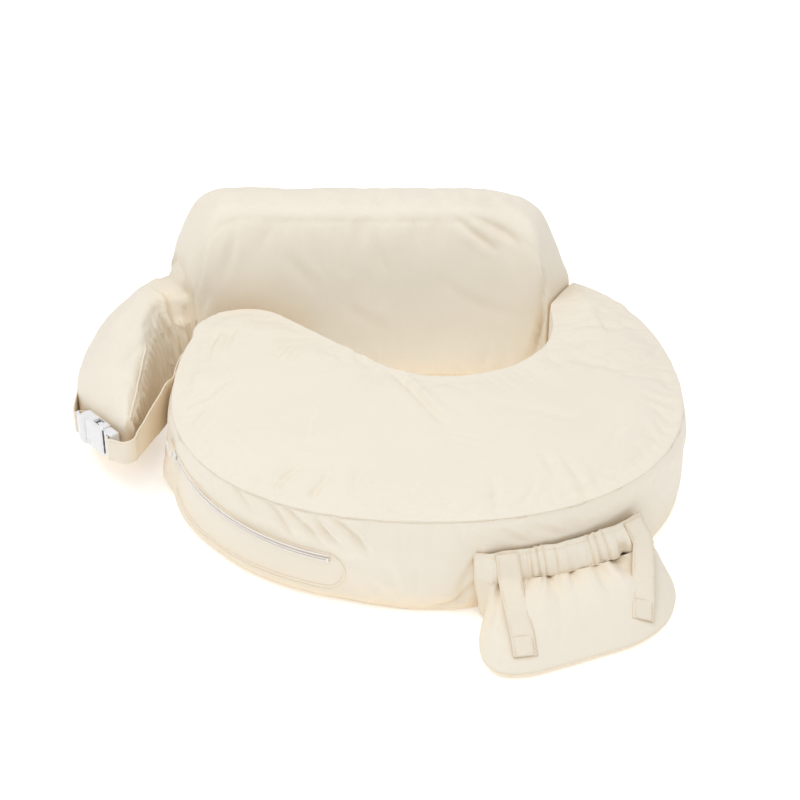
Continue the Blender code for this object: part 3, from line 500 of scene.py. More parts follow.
def line_waves(dist, length, seed, **options):
    """The same noise along a line."""
    return waves(np.c_[dist, dist * 0, dist * 0], length, seed, **options)


def ridged(pts, length, seed):
    drift = np.stack([waves(pts, length * 2.1, seed + i) for i in (1, 2, 3)], 1)
    return 1 - np.abs(waves(pts + 0.25 * length * drift, length, seed)) * 2.0


def crease_field(pts, normals, creases):
    """Height from creases (points, width, depth): each a valley with raised lips."""
    total = np.zeros(len(pts))
    for line, width, depth in creases:
        line = np.array(line, float)
        if line.shape[1] == 2:
            line = np.c_[line, np.full(len(line), 100.0)]
        line = smooth_line(line, 12) if len(line) > 2 else resample(line, 8)
        reach = width * 4
        near = np.all((pts > line.min(0) - reach) & (pts < line.max(0) + reach), axis=1)
        if not near.any():
            continue
        q, up = pts[near], normals[near]
        best = np.full(len(q), 1e9)
        side = np.zeros(len(q))
        along = np.zeros(len(q))
        pieces = len(line) - 1
        for i in range(pieces):
            start, run = line[i], line[i + 1] - line[i]
            span = np.linalg.norm(run)
            run = run / span
            t = np.clip((q - start) @ run, 0, span)
            off = q - (start + t[:, None] * run)
            # measured along the cloth, so that a swollen cover keeps its creases
            lift = np.clip(np.einsum("ij,ij->i", off, up), -8, 8)
            dist = np.linalg.norm(off - lift[:, None] * up, axis=1)
            turn = np.einsum("ij,ij->i", np.cross(np.tile(run, (len(q), 1)), off), up)
            better = dist < best
            best[better] = dist[better]
            side[better] = turn[better]
            along[better] = (i + t[better] / span) / pieces
        # shallower towards both ends and away from the line
        fade = np.sin(np.pi * np.clip(along, 0.0, 1.0) * 0.92 + 0.12) ** 0.8 \
            * np.exp(-(np.maximum(best - width * 1.2, 0) / width) ** 2 * 0.3)
        x = np.sign(side) * best / width
        # valley, high lip, low lip
        profile = -np.exp(-(x * 1.5) ** 2) + 0.55 * np.exp(-((x - 1.25) * 1.2) ** 2) \
            + 0.25 * np.exp(-((x + 1.4) * 1.1) ** 2)
        total[near] += depth * profile * fade
    return total


def puff(ob, pin, shrink, cap, frames=20):
    """Swell a cover by cloth simulation; cap limits how far each point moves."""
    rest = points_of(ob)
    group = ob.vertex_groups.new(name="pin")
    weights = np.round(np.clip(pin, 0, 1), 2)
    for weight in np.unique(weights):
        if weight > 0:
            group.add([int(i) for i in np.nonzero(weights == weight)[0]], float(weight), "REPLACE")
    mod = ob.modifiers.new("Cloth", "CLOTH")
    cloth = mod.settings
    cloth.quality = 5
    cloth.mass = 0.25
    cloth.tension_stiffness = cloth.compression_stiffness = 12.0
    cloth.shear_stiffness = 4.0
    cloth.bending_stiffness = 0.6
    cloth.air_damping = 2.0
    cloth.vertex_group_mass = "pin"
    cloth.pin_stiffness = 0.6
    cloth.shrink_min = shrink
    cloth.use_pressure = True
    cloth.uniform_pressure_force = 3.0
    cloth.effector_weights.gravity = 0.0
    mod.collision_settings.use_collision = False
    mod.collision_settings.use_self_collision = False
    scene = bpy.context.scene
    mod.point_cache.frame_start = 1
    mod.point_cache.frame_end = frames
    for f in range(1, frames + 1):
        scene.frame_set(f)
    swollen = ob.evaluated_get(bpy.context.evaluated_depsgraph_get())
    moved = read_vectors(swollen.data.vertices, "co") / MM - rest
    ob.modifiers.clear()
    ob.vertex_groups.clear()
    scene.frame_set(1)
    # a simulation that has blown up leaves the cover as it was
    if not np.isfinite(moved).all():
        moved[:] = 0
    dist = np.linalg.norm(moved, axis=1)
    soft = cap * np.tanh(dist / np.maximum(cap, 1e-6))
    set_points(ob, rest + moved * (soft / np.maximum(dist, 1e-9))[:, None])


# ------------------------------------------------------ tubes, tapes, stitches
def sweep(name, path, normals, profile, mat):
    """A closed profile (across, up) carried along a path."""
    path = np.array(path, float)
    run = unit(np.gradient(path, axis=0))
    across = unit(np.cross(run, np.array(normals, float)))
    up = np.cross(across, run)
    verts = np.array([path + across * u + up * h for u, h in profile])
    verts = verts.transpose(1, 0, 2).reshape(-1, 3)
    return recalc(make(name, verts, prism_faces(len(path), len(profile)), mat))


def strip(name, path, normals, width, height, mat, slot, sink):
    """A thin flat tape lying on a surface."""
    half = [(-0.5, -sink), (-0.5, height * 0.45), (-0.42, height * 0.9), (-0.2, height)]
    profile = half + [(-u, h) for u, h in reversed(half)]
    return sweep(name, path, normals, [(width * u, h) for u, h in profile], mat)


def tube(name, path, radius, mat, sides=6, normals=None):
    """A round cord; without normals it takes up as its upper side."""
    if normals is None:
        normals = np.tile([0, 0, 1.0], (len(path), 1))
    profile = [(radius * math.cos(a), radius * math.sin(a))
               for a in np.linspace(0, 2 * math.pi, sides, endpoint=False)]
    return sweep(name, path, normals, profile, mat)


STITCH_ROWS = ((0, 0.6, -0.15), (0.25, 1, 0.3), (0.75, 1, 0.3), (1, 0.6, -0.15))
STITCH_FACES = grid_faces(4, 4, wrap=True) + [(0, 3, 2, 1), (12, 13, 14, 15)]
STITCH_FOOT = -0.2      # height of a stitch's lower corners


def stitches(name, path, normals, length=2.6, pitch=4.0, width=0.55, lift=0.15,
             slot="cover_cloth"):
    """A row of small raised stitches along a path lying on a surface."""
    path, normals = np.array(path, float), np.array(normals, float)
    dist = arc_lengths(path)
    verts, faces = [], []
    place = pitch / 2
    while place + length < dist[-1]:
        head = interp_rows(place, dist, path)
        up = interp_rows(place, dist, normals)
        run = interp_rows(place + length, dist, path) - head
        span = np.linalg.norm(run)
        if span > 0.3:
            run /= span
            up /= np.linalg.norm(up)
            across = np.cross(run, up)
            faces += shifted(STITCH_FACES, len(verts))
            # where along the stitch, relative width, height of the upper corners
            for t, broad, height in STITCH_ROWS:
                for side, rise in ((-1, STITCH_FOOT), (-0.5, height), (0.5, height),
                                   (1, STITCH_FOOT)):
                    verts.append(head + run * (span * t) + across * (width * 0.5 * side * broad)
                                 + up * (lift + rise))
        place += pitch
    return recalc(make(name, verts, faces, THREAD))


# ============================================================= the platform
def zip_height(x, y):
    return ZIP_Z - ((x + 169.5) * 0.729 - (y + 35.5) * 0.685) * ZIP_FALL


def zip_point(angle, out=0.0, dz=0.0):
    x = ZIP_C[0] + (ZIP_R + out) * math.cos(angle)
    y = ZIP_C[1] + (ZIP_R + out) * math.sin(angle)
    return (x, y, zip_height(x, y) + dz)


def zip_polar(pts):
    x, y = pts[:, 0] - ZIP_C[0], pts[:, 1] - ZIP_C[1]
    return np.arctan2(y, x), np.hypot(x, y)


WINDOW_START = ZIP_START - 0.033
WINDOW_END = ZIP_END - 6.0 / ZIP_R       # the hem turns a little before the coil's end
END_TOP = zip_point(WINDOW_END, 0, WINDOW_RISE)[2]
END_R = (END_TOP - WINDOW_LOW) / 2
END_Z = (END_TOP + WINDOW_LOW) / 2
# angle about the zip's centre and radius of the platform's outer side
_angle, _radius = zip_polar(OUTER)
_angle = _angle % (2 * math.pi)
_order = np.argsort(_angle)
SIDE_RADIUS = (_angle[_order], _radius[_order])


def window_distance(pts):
    """Distance to the zip window's edge, negative inside it; 99 away from its side."""
    angle = zip_polar(pts)[0] % (2 * math.pi)
    past = (angle - WINDOW_END) * ZIP_R
    z = pts[:, 2]
    top = zip_height(ZIP_C[0] + ZIP_R * np.cos(angle), ZIP_C[1] + ZIP_R * np.sin(angle)) \
        + WINDOW_RISE
    body = np.maximum(np.maximum(WINDOW_LOW - z, z - top),
                      (ZIP_START - 0.035) * ZIP_R - angle * ZIP_R)
    end = np.hypot(past, z - END_Z) - END_R
    dist = np.where(past < 0, body, end)
    return np.where((angle > 3.0) & (angle < 5.2) & (pts[:, 0] < 0), dist, 99.0)


# degrees about (0, OVAL_Y) and how far the outer side swells there
SWELL_AT = [-203, -190, -172, -160, -148, -128, -110, -95, -85, -75, -36, -25, 0, 20, 40, 53]
SWELL = [1, 1.5, 1.5, 0.5, -2.0, -2.5, -1.0, 2.5, 2.0, 0.5, -1.5, -1.5, -1.0, 0.5, 0.5, 0]
# degrees and how far the foot is pushed out
FOOT_AT = [-203, -192, -182, -174, -168, -164, -158, -150, -142, -110, -100, -92, -82, -78, -75,
           -36, 10]
FOOT_OUT = [0, 1, 5.5, 9, 14, 15, 10, 2.5, -1.0, -1.0, 1, 3.5, 4, 3, 0, 0, 0]
# degrees and how far the top edge is slumped in, most at the right rear
SLUMP_AT = [-203, -150, -110, -60, -20, 0, 15, 35, 53]
SLUMP_IN = [0.5, 0.3, 0.3, 0.3, 0.8, 2.0, 4.0, 4.0, 0.5]

N_OUT, N_IN, N_HINGE = 270, 118, 12      # points on the outer, inner and hinge sides
SEWN = N_OUT + N_IN - 2                  # ring points before the hinge side


def platform_ring():
    """The closed plan outline, clockwise, kept clear of the hinge line."""
    outer = resample(OUTER, N_OUT)
    inner = resample(INNER, N_IN)
    hinge = resample([inner[-1] + HINGE_N * HINGE_GAP, HINGE_OUT + HINGE_N * HINGE_GAP], N_HINGE)
    ring = np.vstack([outer[:-1], [(outer[-1] + inner[0]) / 2], inner[1:-1], hinge[:-1]])
    by_hinge = near_hinge(ring, 60, 60)
    dist = hinge_distance(ring)
    close = by_hinge & (dist < HINGE_GAP)
    ring[close] += HINGE_N * (HINGE_GAP - dist[close])[:, None]
    return ring, by_hinge


RING, BY_HINGE = platform_ring()
OUTWARD = left_normals(RING, closed=True)
RING_ARC = arc_lengths(RING)
ON_OUTER = np.arange(len(RING)) < N_OUT
ON_HINGE = np.arange(len(RING)) >= SEWN


def outline_amounts():
    """How far each ring point swells, slumps at the top and is pushed out at the foot."""
    angle = np.degrees(np.arctan2(RING[:, 1] - OVAL_Y, RING[:, 0]))
    angle = np.where(angle > 90, angle - 360, angle)
    amounts = []
    for keys, values, inner in ((SWELL_AT, SWELL, 2.0), (SLUMP_AT, SLUMP_IN, 0.3),
                                (FOOT_AT, FOOT_OUT, 0.0)):
        amount = np.where(ON_OUTER, np.interp(angle, keys, values), inner)
        amounts.append(np.where(ON_HINGE, 0, amount))
    swell, slump, foot = amounts
    fade = np.where(BY_HINGE, smoothstep(np.abs(hinge_distance(RING)) / 25), 1.0)
    return swell * fade, slump * fade, foot


RING_SWELL, RING_SLUMP, RING_FOOT = outline_amounts()

# rows up the side: z, inset from the outline
SIDE_ROWS = [(0.0, 16), (0.9, 9.5), (3.0, 4.8), (6.8, 1.8), (12.0, 0.3)]
SIDE_ROWS += [(z, 0.0) for z in np.arange(17.0, 93.0, 5.0)]
SIDE_ROWS += [(95.2, 0.0), (97.2, 0.5), (98.2, 1.5), (98.9, 0.7), (99.8, 0.5), (100.4, 1.8),
              (100.5, 4.6)]


def side_swell(z):
    return RING_SWELL * math.sin(math.pi * min((z + 2) / 102.0, 1)) ** 0.8


def side_ring(z, inset):
    # the foot is rounded, less so at the front
    tight = 1 - 0.72 * smoothstep(1 - np.abs(RING[:, 0]) / 95.0) * (RING[:, 1] < 0)
    low = z < 15
    insets = np.where(ON_HINGE, np.minimum(inset, 0.6), inset * (tight if low else 1))
    if low:
        insets = np.where(ON_OUTER | ON_HINGE, insets, np.minimum(insets, 9))
    out = side_swell(z) + RING_FOOT * bell(z - 16.0, 24.0)
    slump = smoothstep(z / 100.0) * RING_SLUMP
    return np.c_[RING + OUTWARD * (out - insets - slump)[:, None], np.full(len(RING), z)]


def fill_ring(ring, step, margin):
    """Points, their distance to the ring and triangles that fill a plan ring.

    The ring's own points come first.
    """
    ring = np.asarray(ring)
    low, high = ring.min(0), ring.max(0)
    pts = []
    row = 0
    y = low[1]
    while y < high[1]:
        for x in np.arange(low[0] + (step / 2 if row % 2 else 0), high[0], step):
            pts.append((x, y))
        y += step * 0.866
        row += 1
    pts = np.array(pts)
    inside = np.zeros(len(pts), bool)
    for a, b in zip(ring, np.roll(ring, -1, 0)):
        spans = (a[1] > pts[:, 1]) != (b[1] > pts[:, 1])
        crossing = (b[0] - a[0]) * (pts[:, 1] - a[1]) / (b[1] - a[1] + 1e-12) + a[0]
        inside ^= spans & (pts[:, 0] < crossing)
    pts = pts[inside]
    dist = np.min(np.hypot(pts[:, None, 0] - ring[None, :, 0],
                           pts[:, None, 1] - ring[None, :, 1]), axis=1)
    pts, dist = pts[dist > margin], dist[dist > margin]
    every = np.vstack([ring, pts])
    edges = [(i, (i + 1) % len(ring)) for i in range(len(ring))]
    _, _, triangles, origins, _, _ = delaunay_2d_cdt([Vector(p) for p in every], edges, [],
                                                     1, 1e-5)
    back = {i: origin[0] for i, origin in enumerate(origins) if origin}
    faces = [tuple(back[i] for i in f) for f in triangles if all(i in back for i in f)]
    return every, np.r_[np.zeros(len(ring)), dist], faces


def renumber(face, cols, ring_start, fill_start):
    return tuple(ring_start + i if i < cols else fill_start + i - cols for i in face)


def set_back_window(verts):
    """Draw the side in to the zip's radius round the window."""
    dist = window_distance(verts)
    angle, radius = zip_polar(verts)
    near = (dist < 60) & (verts[:, 2] > 1) & (verts[:, 2] < 99)
    calm = np.where(near, smoothstep(1 - dist / 38.0), 0)
    side = np.interp(angle % (2 * math.pi), *SIDE_RADIUS)
    drawn = radius + (np.minimum(radius, side + 1.2) - radius) * calm
    inside = np.where(near, smoothstep((2.0 - dist) / 4.0), 0)
    drawn = drawn + (ZIP_R - 0.9 - drawn) * inside
    verts[:, 0] = np.where(near, ZIP_C[0] + drawn * np.cos(angle), verts[:, 0])
    verts[:, 1] = np.where(near, ZIP_C[1] + drawn * np.sin(angle), verts[:, 1])


def build_platform():
    rings = [side_ring(z, inset) for z, inset in SIDE_ROWS]
    rows, cols = len(rings), len(RING)
    verts = np.vstack(rings)
    faces = grid_faces(rows, cols, wrap=True)
    top, depth, top_faces = fill_ring(rings[-1][:, :2], step=5.2, margin=3.2)
    faces += [renumber(f, cols, (rows - 1) * cols, len(verts)) for f in top_faces]
    crown = 100.5 + 2.2 * (1 - np.exp(-depth[cols:] / 28.0))
    verts = np.vstack([verts, np.c_[top[cols:], crown]])
    bottom, _, bottom_faces = fill_ring(rings[0][:, :2], step=11.0, margin=6.0)
    faces += [renumber(reversed(f), cols, 0, len(verts)) for f in bottom_faces]
    verts = np.vstack([verts, np.c_[bottom[cols:], np.full(len(bottom) - cols, 0.1)]])
    # the top is slumped at its corner by the hinge
    corner = np.hypot(verts[:, 0] - HINGE_OUT[0], verts[:, 1] - HINGE_OUT[1])
    verts[:, 2] -= 3.2 * bell(corner, 26.0) * smoothstep((verts[:, 2] - 40) / 60.0)
    set_back_window(verts)
    return recalc(make("platform_cover", verts, faces, COVER))


def edge_distance(pts):
    """Plan distance to the outline, and the place along it."""
    best = np.full(len(pts), 1e9)
    arc = np.zeros(len(pts))
    for corner, place in zip(RING, RING_ARC):
        dist = np.hypot(pts[:, 0] - corner[0], pts[:, 1] - corner[1])
        nearer = dist < best
        best[nearer] = dist[nearer]
        arc[nearer] = place
    return best, arc


def in_pocket_zone(pts, x_left, x_right, z_top):
    """Behind the pocket, on the right front side."""
    x, y, z = pts.T
    return (x > x_left) & (x < x_right) & (y < 20) & (z < z_top)


# creases: points, width, depth
TOP_CREASES = [
    ([(-40, 141), (-11, 79), (17, 21)], 7, 2.2), ([(-214, 207), (-223, 149)], 6, 1.6),
    ([(-197, 211), (-206, 165)], 6, 1.8), ([(-140, 182), (-155, 141)], 6, 1.6),
    ([(-127, 174), (-140, 137)], 5, 1.3), ([(-73, 174), (-67, 149)], 5, 1.2),
    ([(-193, 110), (-216, 72)], 6, 1.3), ([(-110, 50), (-115, -14)], 7, 1.1),
    ([(-142, -81), (-128, -58), (-117, -45)], 5, 1.8),
    ([(-111, -96), (-98, -74), (-89, -55)], 5, 1.9), ([(-202, 21), (-171, -35)], 8, 1.5),
    ([(106, -21), (117, -68)], 7, 1.2), ([(127, -35), (142, -87)], 7, 1.3),
    ([(186, 21), (162, -21)], 7, 1.2), ([(13, 110), (44, 79)], 8, 1.0),
    ([(-13, -74), (-20, -106)], 6, 1.0), ([(58, -61), (60, -112)], 7, 1.1),
    ([(-60, -40), (-72, -98)], 7, 1.2), ([(150, 150), (200, 120)], 9, 0.9),
    ([(160, 220), (205, 215)], 9, 0.9), ([(80, 60), (150, 30)], 10, 0.8),
]
SIDE_CREASES = [
    ([(-149, -88, 99), (-134, -96, 85), (-124, -101, 66)], 5, 3.6),
    ([(-134, -96, 98), (-111, -107, 83), (-98, -111, 66)], 5, 3.4),
    ([(-103, -109, 94), (-92, -113, 80), (-82, -116, 70)], 5, 4.2),
    ([(-90, -113, 97), (-68, -118, 83), (-54, -121, 64)], 5, 3.8),
    ([(-181, -65, 99), (-161, -81, 80)], 5, 2.2), ([(39, -122, 56), (22, -124, 26)], 5, 2.6),
    ([(41, -122, 36), (13, -124, 8)], 5, 3.0), ([(39, -122, 22), (-9, -124, 4)], 5, 2.6),
    ([(45, -121, 70), (34, -123, 50)], 4, 2.0), ([(55, -120, 92), (86, -114, 70)], 6, 1.6),
    ([(94, -112, 86), (120, -103, 70)], 6, 1.6), ([(-12, -124, 56), (-12, -124, 30)], 7, 1.4),
    ([(-40, -123, 60), (-30, -123, 25)], 7, 1.2), ([(20, -124, 95), (34, -123, 74)], 6, 1.4),
    ([(232, 30, 90), (240, 60, 50)], 8, 1.4), ([(250, 110, 85), (248, 140, 40)], 9, 1.2),
    ([(-246, 60, 92), (-240, 30, 78)], 7, 1.4), ([(-60, -120, 40), (-30, -123, 15)], 7, 1.3),
    ([(60, 120, 90), (72, 124, 40)], 9, 1.2),
]


def puff_platform(ob):
    """Swell the cover, held at its seams, foot, window, hinge and pocket."""
    pts = points_of(ob)
    z = pts[:, 2]
    edge = edge_distance(pts)[0]
    on_top = z > 99.0
    pin = np.where(z > 94, 1 - smoothstep((edge - 6) / 22), 0)
    pin = np.where(z < 8, 1.0, pin)
    by_window = 1 - smoothstep((window_distance(pts) - 1) / 10)
    pin = np.maximum(pin, np.where(on_top, 0, by_window))
    by_hinge = 1 - smoothstep((hinge_distance(pts) - 2) / 25)
    pin = np.maximum(pin, np.where(near_hinge(pts, 50, 50), by_hinge, 0))
    by_pocket = in_pocket_zone(pts, 40, 222, 75) & ~on_top
    pin = np.maximum(pin, np.where(by_pocket, 0.9, 0))
    cap = np.where(on_top, 4.5, 5.0)
    cap = np.where(by_pocket, 0.6, cap)
    cap = np.where((z > 90) & (z <= 99), 1.2, cap)
    cap = np.where(z < 8, 0.2, cap)
    puff(ob, pin, shrink=-0.025, cap=cap)


def crease_platform(ob):
    """Puckers, unevenness and creases, faded out where pieces are sewn on."""
    pts, normals = points_of(ob), normals_of(ob)
    edge, arc = edge_distance(pts)
    z = pts[:, 2]
    top = z > 99.6
    from_seam = np.where(top, edge, np.maximum(99.0 - z, 0))
    # puckers along the seam
    pucker = line_waves(arc, length=17, seed=5, n=8, spread=0.4) \
        * (0.55 + 0.45 * line_waves(arc, length=90, seed=6, n=5))
    height = 1.5 * pucker * np.exp(-from_seam / 13.0) * smoothstep(from_seam / 3.0)
    # long soft radial folds further from the seam
    folds = line_waves(arc + from_seam * 0.25, length=46, seed=9, n=8)
    height += 0.7 * folds * np.exp(-from_seam / 45.0) * smoothstep(from_seam / 12.0)
    # slow unevenness of the cover over the foam
    height += 0.7 * waves(pts, length=95, seed=21) + 0.28 * ridged(pts, length=38, seed=31) \
        * smoothstep(waves(pts, length=120, seed=41) + 0.5)
    height += 1.35 * crease_field(pts, normals, TOP_CREASES) * top
    height += 0.95 * crease_field(pts, normals, SIDE_CREASES) * (~top & (z > 3))
    keep = np.where(top, 1.0, smoothstep(window_distance(pts) / 7.0))
    keep *= np.where(z < 10, smoothstep((z - 0.2) / 9), 1)
    keep *= np.where(near_hinge(pts, 40, 45), smoothstep((hinge_distance(pts) - 0.9) / 10), 1)
    by_pocket = in_pocket_zone(pts, 50, 215, 70) & ~top
    keep = np.where(by_pocket, keep * 0.15, keep)
    height = np.where(by_pocket, np.minimum(height * keep, 0.4), height * keep)
    height = np.where((z < 99.6) & (z > 96.5), height * 0.4, height)
    set_points(ob, pts + normals * height[:, None])


platform = build_platform()
puff_platform(platform)
subdivide(platform)
crease_platform(platform)
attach(platform, "pillow")
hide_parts("platform_top_panel", "platform_bottom_panel", "outer_side_band",
            "waist_side_band", "platform_foam", "foam_divider_panel", "zip_placket")
PLATFORM_BVH = bvh_of(platform)

# ======================================================== back support and wing
# plan of the inner and outer faces, from the hinge to the wing's end, in pairs
BACK_IN = [
    HINGE_IN - HINGE_N * 0.4, (125, 274), (114, 276), (96, 277), (70, 277.5), (20, 277.5),
    (-60, 277.5), (-140, 277.5), (-200, 277.5), (-228, 277), (-249, 274), (-264, 260),
    (-272, 238), (-279, 205), (-284, 172), (-286, 142), (-287, 116), (-288, 94), (-291, 76),
    (-295.5, 67)]
BACK_OUT = [
    HINGE_OUT - HINGE_N * 0.4, (146, 336.5), (128, 347), (104, 357.5), (76, 363.5), (20, 367),
    (-60, 368), (-140, 368), (-212, 368), (-259, 368), (-290, 359.5), (-314.5, 339),
    (-332.5, 304), (-346, 263), (-353.5, 219), (-355, 176), (-351, 141), (-338.5, 110.5),
    (-319.5, 89.5), (-300.5, 71.5)]
# x of the outer face and height of the back there
TOP_X = [-303, -290, -283, -276, -270, -264, -257, -249, -241, -231, -211, 60, 92, 112, 124, 131,
         139, 148, 158, 170]
TOP_Z = [90, 93, 100, 114, 136, 152, 164, 176, 183, 188, 190, 189.5, 186, 180, 172.5, 164, 147,
         124, 109, 100]
# y along the wing and height of its underside there
WING_FOOT_Y = [60, 70, 82, 95, 115, 140, 165, 190]
WING_FOOT_Z = [38, 36, 30, 23.5, 15, 6, 1.5, 0]
# distance past the wing's start and how far its inner face leans back there
WING_LEAN_AT = [0, 12, 25, 45, 70, 100, 130, 160, 190]
WING_LEAN = [17, 23, 29, 31, 25, 14, 6, 3, 0]
N_STATIONS = 150
N_FACE, N_TOP = 38, 16       # points up a face, points over the top


def back_stations(n):
    """Paired inner and outer plan points, and their distance along the middle."""
    inner, outer = spline(BACK_IN, 16), spline(BACK_OUT, 16)
    dist = arc_lengths((inner + outer) / 2)
    places = np.linspace(0, dist[-1], n)
    return interp_rows(places, dist, inner), interp_rows(places, dist, outer), places


def station_heights():
    heights = np.array([92.0 if x < -284 else float(np.interp(x, TOP_X, TOP_Z))
                        for x in LINE_OUT[:, 0]])
    return eased(np.where(heights > 120, heights + 4.6, heights), 3)


def wing_foot(k):
    x, y = (LINE_IN[k] + LINE_OUT[k]) / 2
    return 0.0 if x > -250 else float(np.interp(y, WING_FOOT_Y, WING_FOOT_Z))


LINE_IN, LINE_OUT, PLACES = back_stations(N_STATIONS)
TOPS = station_heights()
WING = next(k for k in range(N_STATIONS) if LINE_IN[k][1] < 275.6 and LINE_IN[k][0] < -200)
FEET = np.array([wing_foot(k) for k in range(N_STATIONS)])
STATIONS = np.arange(N_STATIONS)
# the inner face leans back
LEAN = np.where(STATIONS < WING, 17.0 + 8.0 * smoothstep((WING - 1 - STATIONS) / 13.0),
                np.interp(PLACES - PLACES[WING], WING_LEAN_AT, WING_LEAN)) \
    * smoothstep(STATIONS / 17.0)
# radius of the inner top edge, softer by the hinge and before the wing
SOFT_R = 9.0 + 15.0 * (1 - smoothstep((STATIONS - 8) / 16.0)) \
    + 15.0 * (1 - smoothstep((WING - STATIONS) / 22.0)) * (STATIONS < WING + 6)


def wing_dome(k, f):
    end = min(1.0, max(0.0, (LINE_IN[k][1] - 66.0) / 62.0))
    ridge = 74 + 24 * math.sqrt(end * (2 - end))
    outer = 64 + 12 * end
    return outer + (ridge - outer) * math.cos(f * math.pi / 2) ** 0.7 \
        + 6 * end * math.sin(math.pi * f)


def top_at(k, f):
    """Height of the top at a station; f is 0 at the inner and 1 at the outer face."""
    back_share = float(smoothstep(1 - (k - WING) / 14.0))
    crowned = TOPS[k] - 3.0 * (2 * f - 1) ** 4
    if back_share >= 1:
        return crowned
    return wing_dome(k, f) * (1 - back_share) + crowned * back_share


def back_ring(k):
    """One closed section: up the inner face, over the top, down outside, back below."""
    inner, outer = LINE_IN[k], LINE_OUT[k]
    foot = FEET[k] + 0.2
    width = max(np.hypot(*(outer - inner)), 1e-6)
    across = (outer - inner) / width
    lean = LEAN[k]
    outer_r = min(9.0, width * 0.3)
    inner_r = min(SOFT_R[k], width * 0.3)
    foot_in = min(7.0, width * 0.3)
    pts = []

    def add(place, z):
        pts.append((inner[0] + across[0] * place, inner[1] + across[1] * place, z))

    def foot_round(z):
        return foot_in * (1 - smoothstep((z - foot) / 9.0)) * 0.8

    top = top_at(k, 0.0)
    for t in np.linspace(0, 1, N_FACE):
        z = foot + (top - inner_r - foot) * t
        place = foot_round(z) + lean * (z - foot) / (top - foot)
        if k < WING:
            place -= 2.5 * math.sin(math.pi * t) * (lean / 25.0)
        add(place, z)
    for t in np.linspace(0, 1, N_TOP + 2)[1:-1]:
        t = 0.5 - 0.5 * math.cos(math.pi * t)
        place = lean + t * (width - lean)
        radius = inner_r if t < 0.5 else outer_r
        edge = min(place - lean, width - place)
        drop = 0.0
        if edge < radius:
            drop = radius - math.sqrt(max(radius ** 2 - (radius - edge) ** 2, 0))
        add(place, top_at(k, t) - drop)
    top = top_at(k, 1.0)
    for t in np.linspace(1, 0, N_FACE):
        z = foot + (top - outer_r - foot) * t
        add(width - foot_round(z), z)
    for t in np.linspace(1, 0, 10)[1:-1]:
        add(foot_in + (width - 2 * foot_in) * t, foot)
    return pts


def build_back():
    rings = np.array([back_ring(k) for k in range(N_STATIONS)])
    cols = rings.shape[1]
    verts = rings.reshape(-1, 3)
    faces = grid_faces(N_STATIONS, cols, wrap=True)
    verts = close_end(verts, faces, 0, cols, reverse=True)
    verts = close_end(verts, faces, (N_STATIONS - 1) * cols, cols)
    return recalc(make("back_support_cover", verts, faces, COVER))


def back_info(pts):
    """Nearest station, and place across (0 inner face, 1 outer face)."""
    best = np.full(len(pts), 1e9)
    station = np.zeros(len(pts), int)
    for k in range(N_STATIONS):
        start, across = LINE_IN[k], LINE_OUT[k] - LINE_IN[k]
        t = np.clip(((pts[:, :2] - start) @ across) / max(across @ across, 1e-6), 0, 1)
        dist = np.hypot(pts[:, 0] - start[0] - across[0] * t,
                        pts[:, 1] - start[1] - across[1] * t)
        nearer = dist < best
        best[nearer] = dist[nearer]
        station[nearer] = k
    across = LINE_OUT[station] - LINE_IN[station]
    width = np.maximum(np.sqrt((across ** 2).sum(1)), 1e-3)
    lean = LEAN[station] * np.clip(pts[:, 2] / TOPS[station], 0, 1)
    place = np.einsum("ij,ij->i", pts[:, :2] - LINE_IN[station], across) / width
    return station, (place - lean) / (width - lean)


# creases: points, width, depth
BACK_CREASES = [
    ([(-55, 301, 176), (-50, 297, 150), (-44, 294, 126)], 7, 2.0),
    ([(30, 302, 186), (52, 300, 168), (76, 297, 150)], 6, 3.2),
    ([(52, 302, 186), (76, 300, 174), (100, 298, 158)], 6, 2.4),
    ([(132, 274, 96), (123, 283, 58), (116, 288, 28)], 6, 3.4),
    ([(131, 272, 140), (127, 279, 100)], 5, 2.4),
    ([(10, 293, 120), (60, 289, 90), (100, 288, 80)], 10, 1.2),
    ([(-150, 297, 150), (-120, 292, 110)], 10, 1.2),
    ([(-200, 301, 175), (-215, 293, 120)], 8, 1.5),
    ([(-238, 296, 150), (-248, 288, 110), (-250, 285, 70)], 7, 2.4),
    ([(-90, 289, 90), (-40, 285, 60)], 11, 1.0), ([(100, 330, 189), (90, 345, 189)], 8, 1.0),
    ([(-10, 335, 190), (10, 350, 190)], 10, 0.9),
]
WING_CREASES = [
    ([(-258, 290, 98), (-275, 305, 99), (-296, 322, 92)], 6, 3.0),
    ([(-262, 276, 98), (-285, 290, 97)], 6, 1.8),
    ([(-300, 262, 96), (-312, 232, 94), (-318, 205, 92)], 8, 1.5),
    ([(-290, 200, 98), (-300, 165, 96), (-306, 140, 93)], 7, 1.8),
    ([(-318, 150, 88), (-326, 128, 80)], 6, 1.6), ([(-330, 230, 84), (-336, 190, 82)], 8, 1.4),
    ([(-300, 120, 88), (-306, 98, 78)], 6, 1.8), ([(-284, 240, 100), (-296, 222, 97)], 6, 1.4),
]


def puff_back(ob):
    """Swell the cover, held at its foot, top edges, hinge and wing end."""
    pts = points_of(ob)
    station, f = back_info(pts)
    z = pts[:, 2]
    on_edge = (np.abs(z - (TOPS[station] - 5)) < 7) & ((f < 0.12) | (f > 0.88)) & (station < WING)
    held = ((hinge_distance(pts) > -12) & (pts[:, 0] > 60)) | (station > N_STATIONS - 6)
    pin = 1 - smoothstep((z - 3) / 10)
    pin = np.maximum(pin, np.where(on_edge, 0.8, 0))
    pin = np.maximum(pin, np.where(held, 1.0, 0))
    cap = np.where(station < WING, 5.0, 3.5)
    cap = np.where((station > WING) & (f < 0.3), 2.0, cap)
    puff(ob, pin, shrink=-0.02, cap=cap)


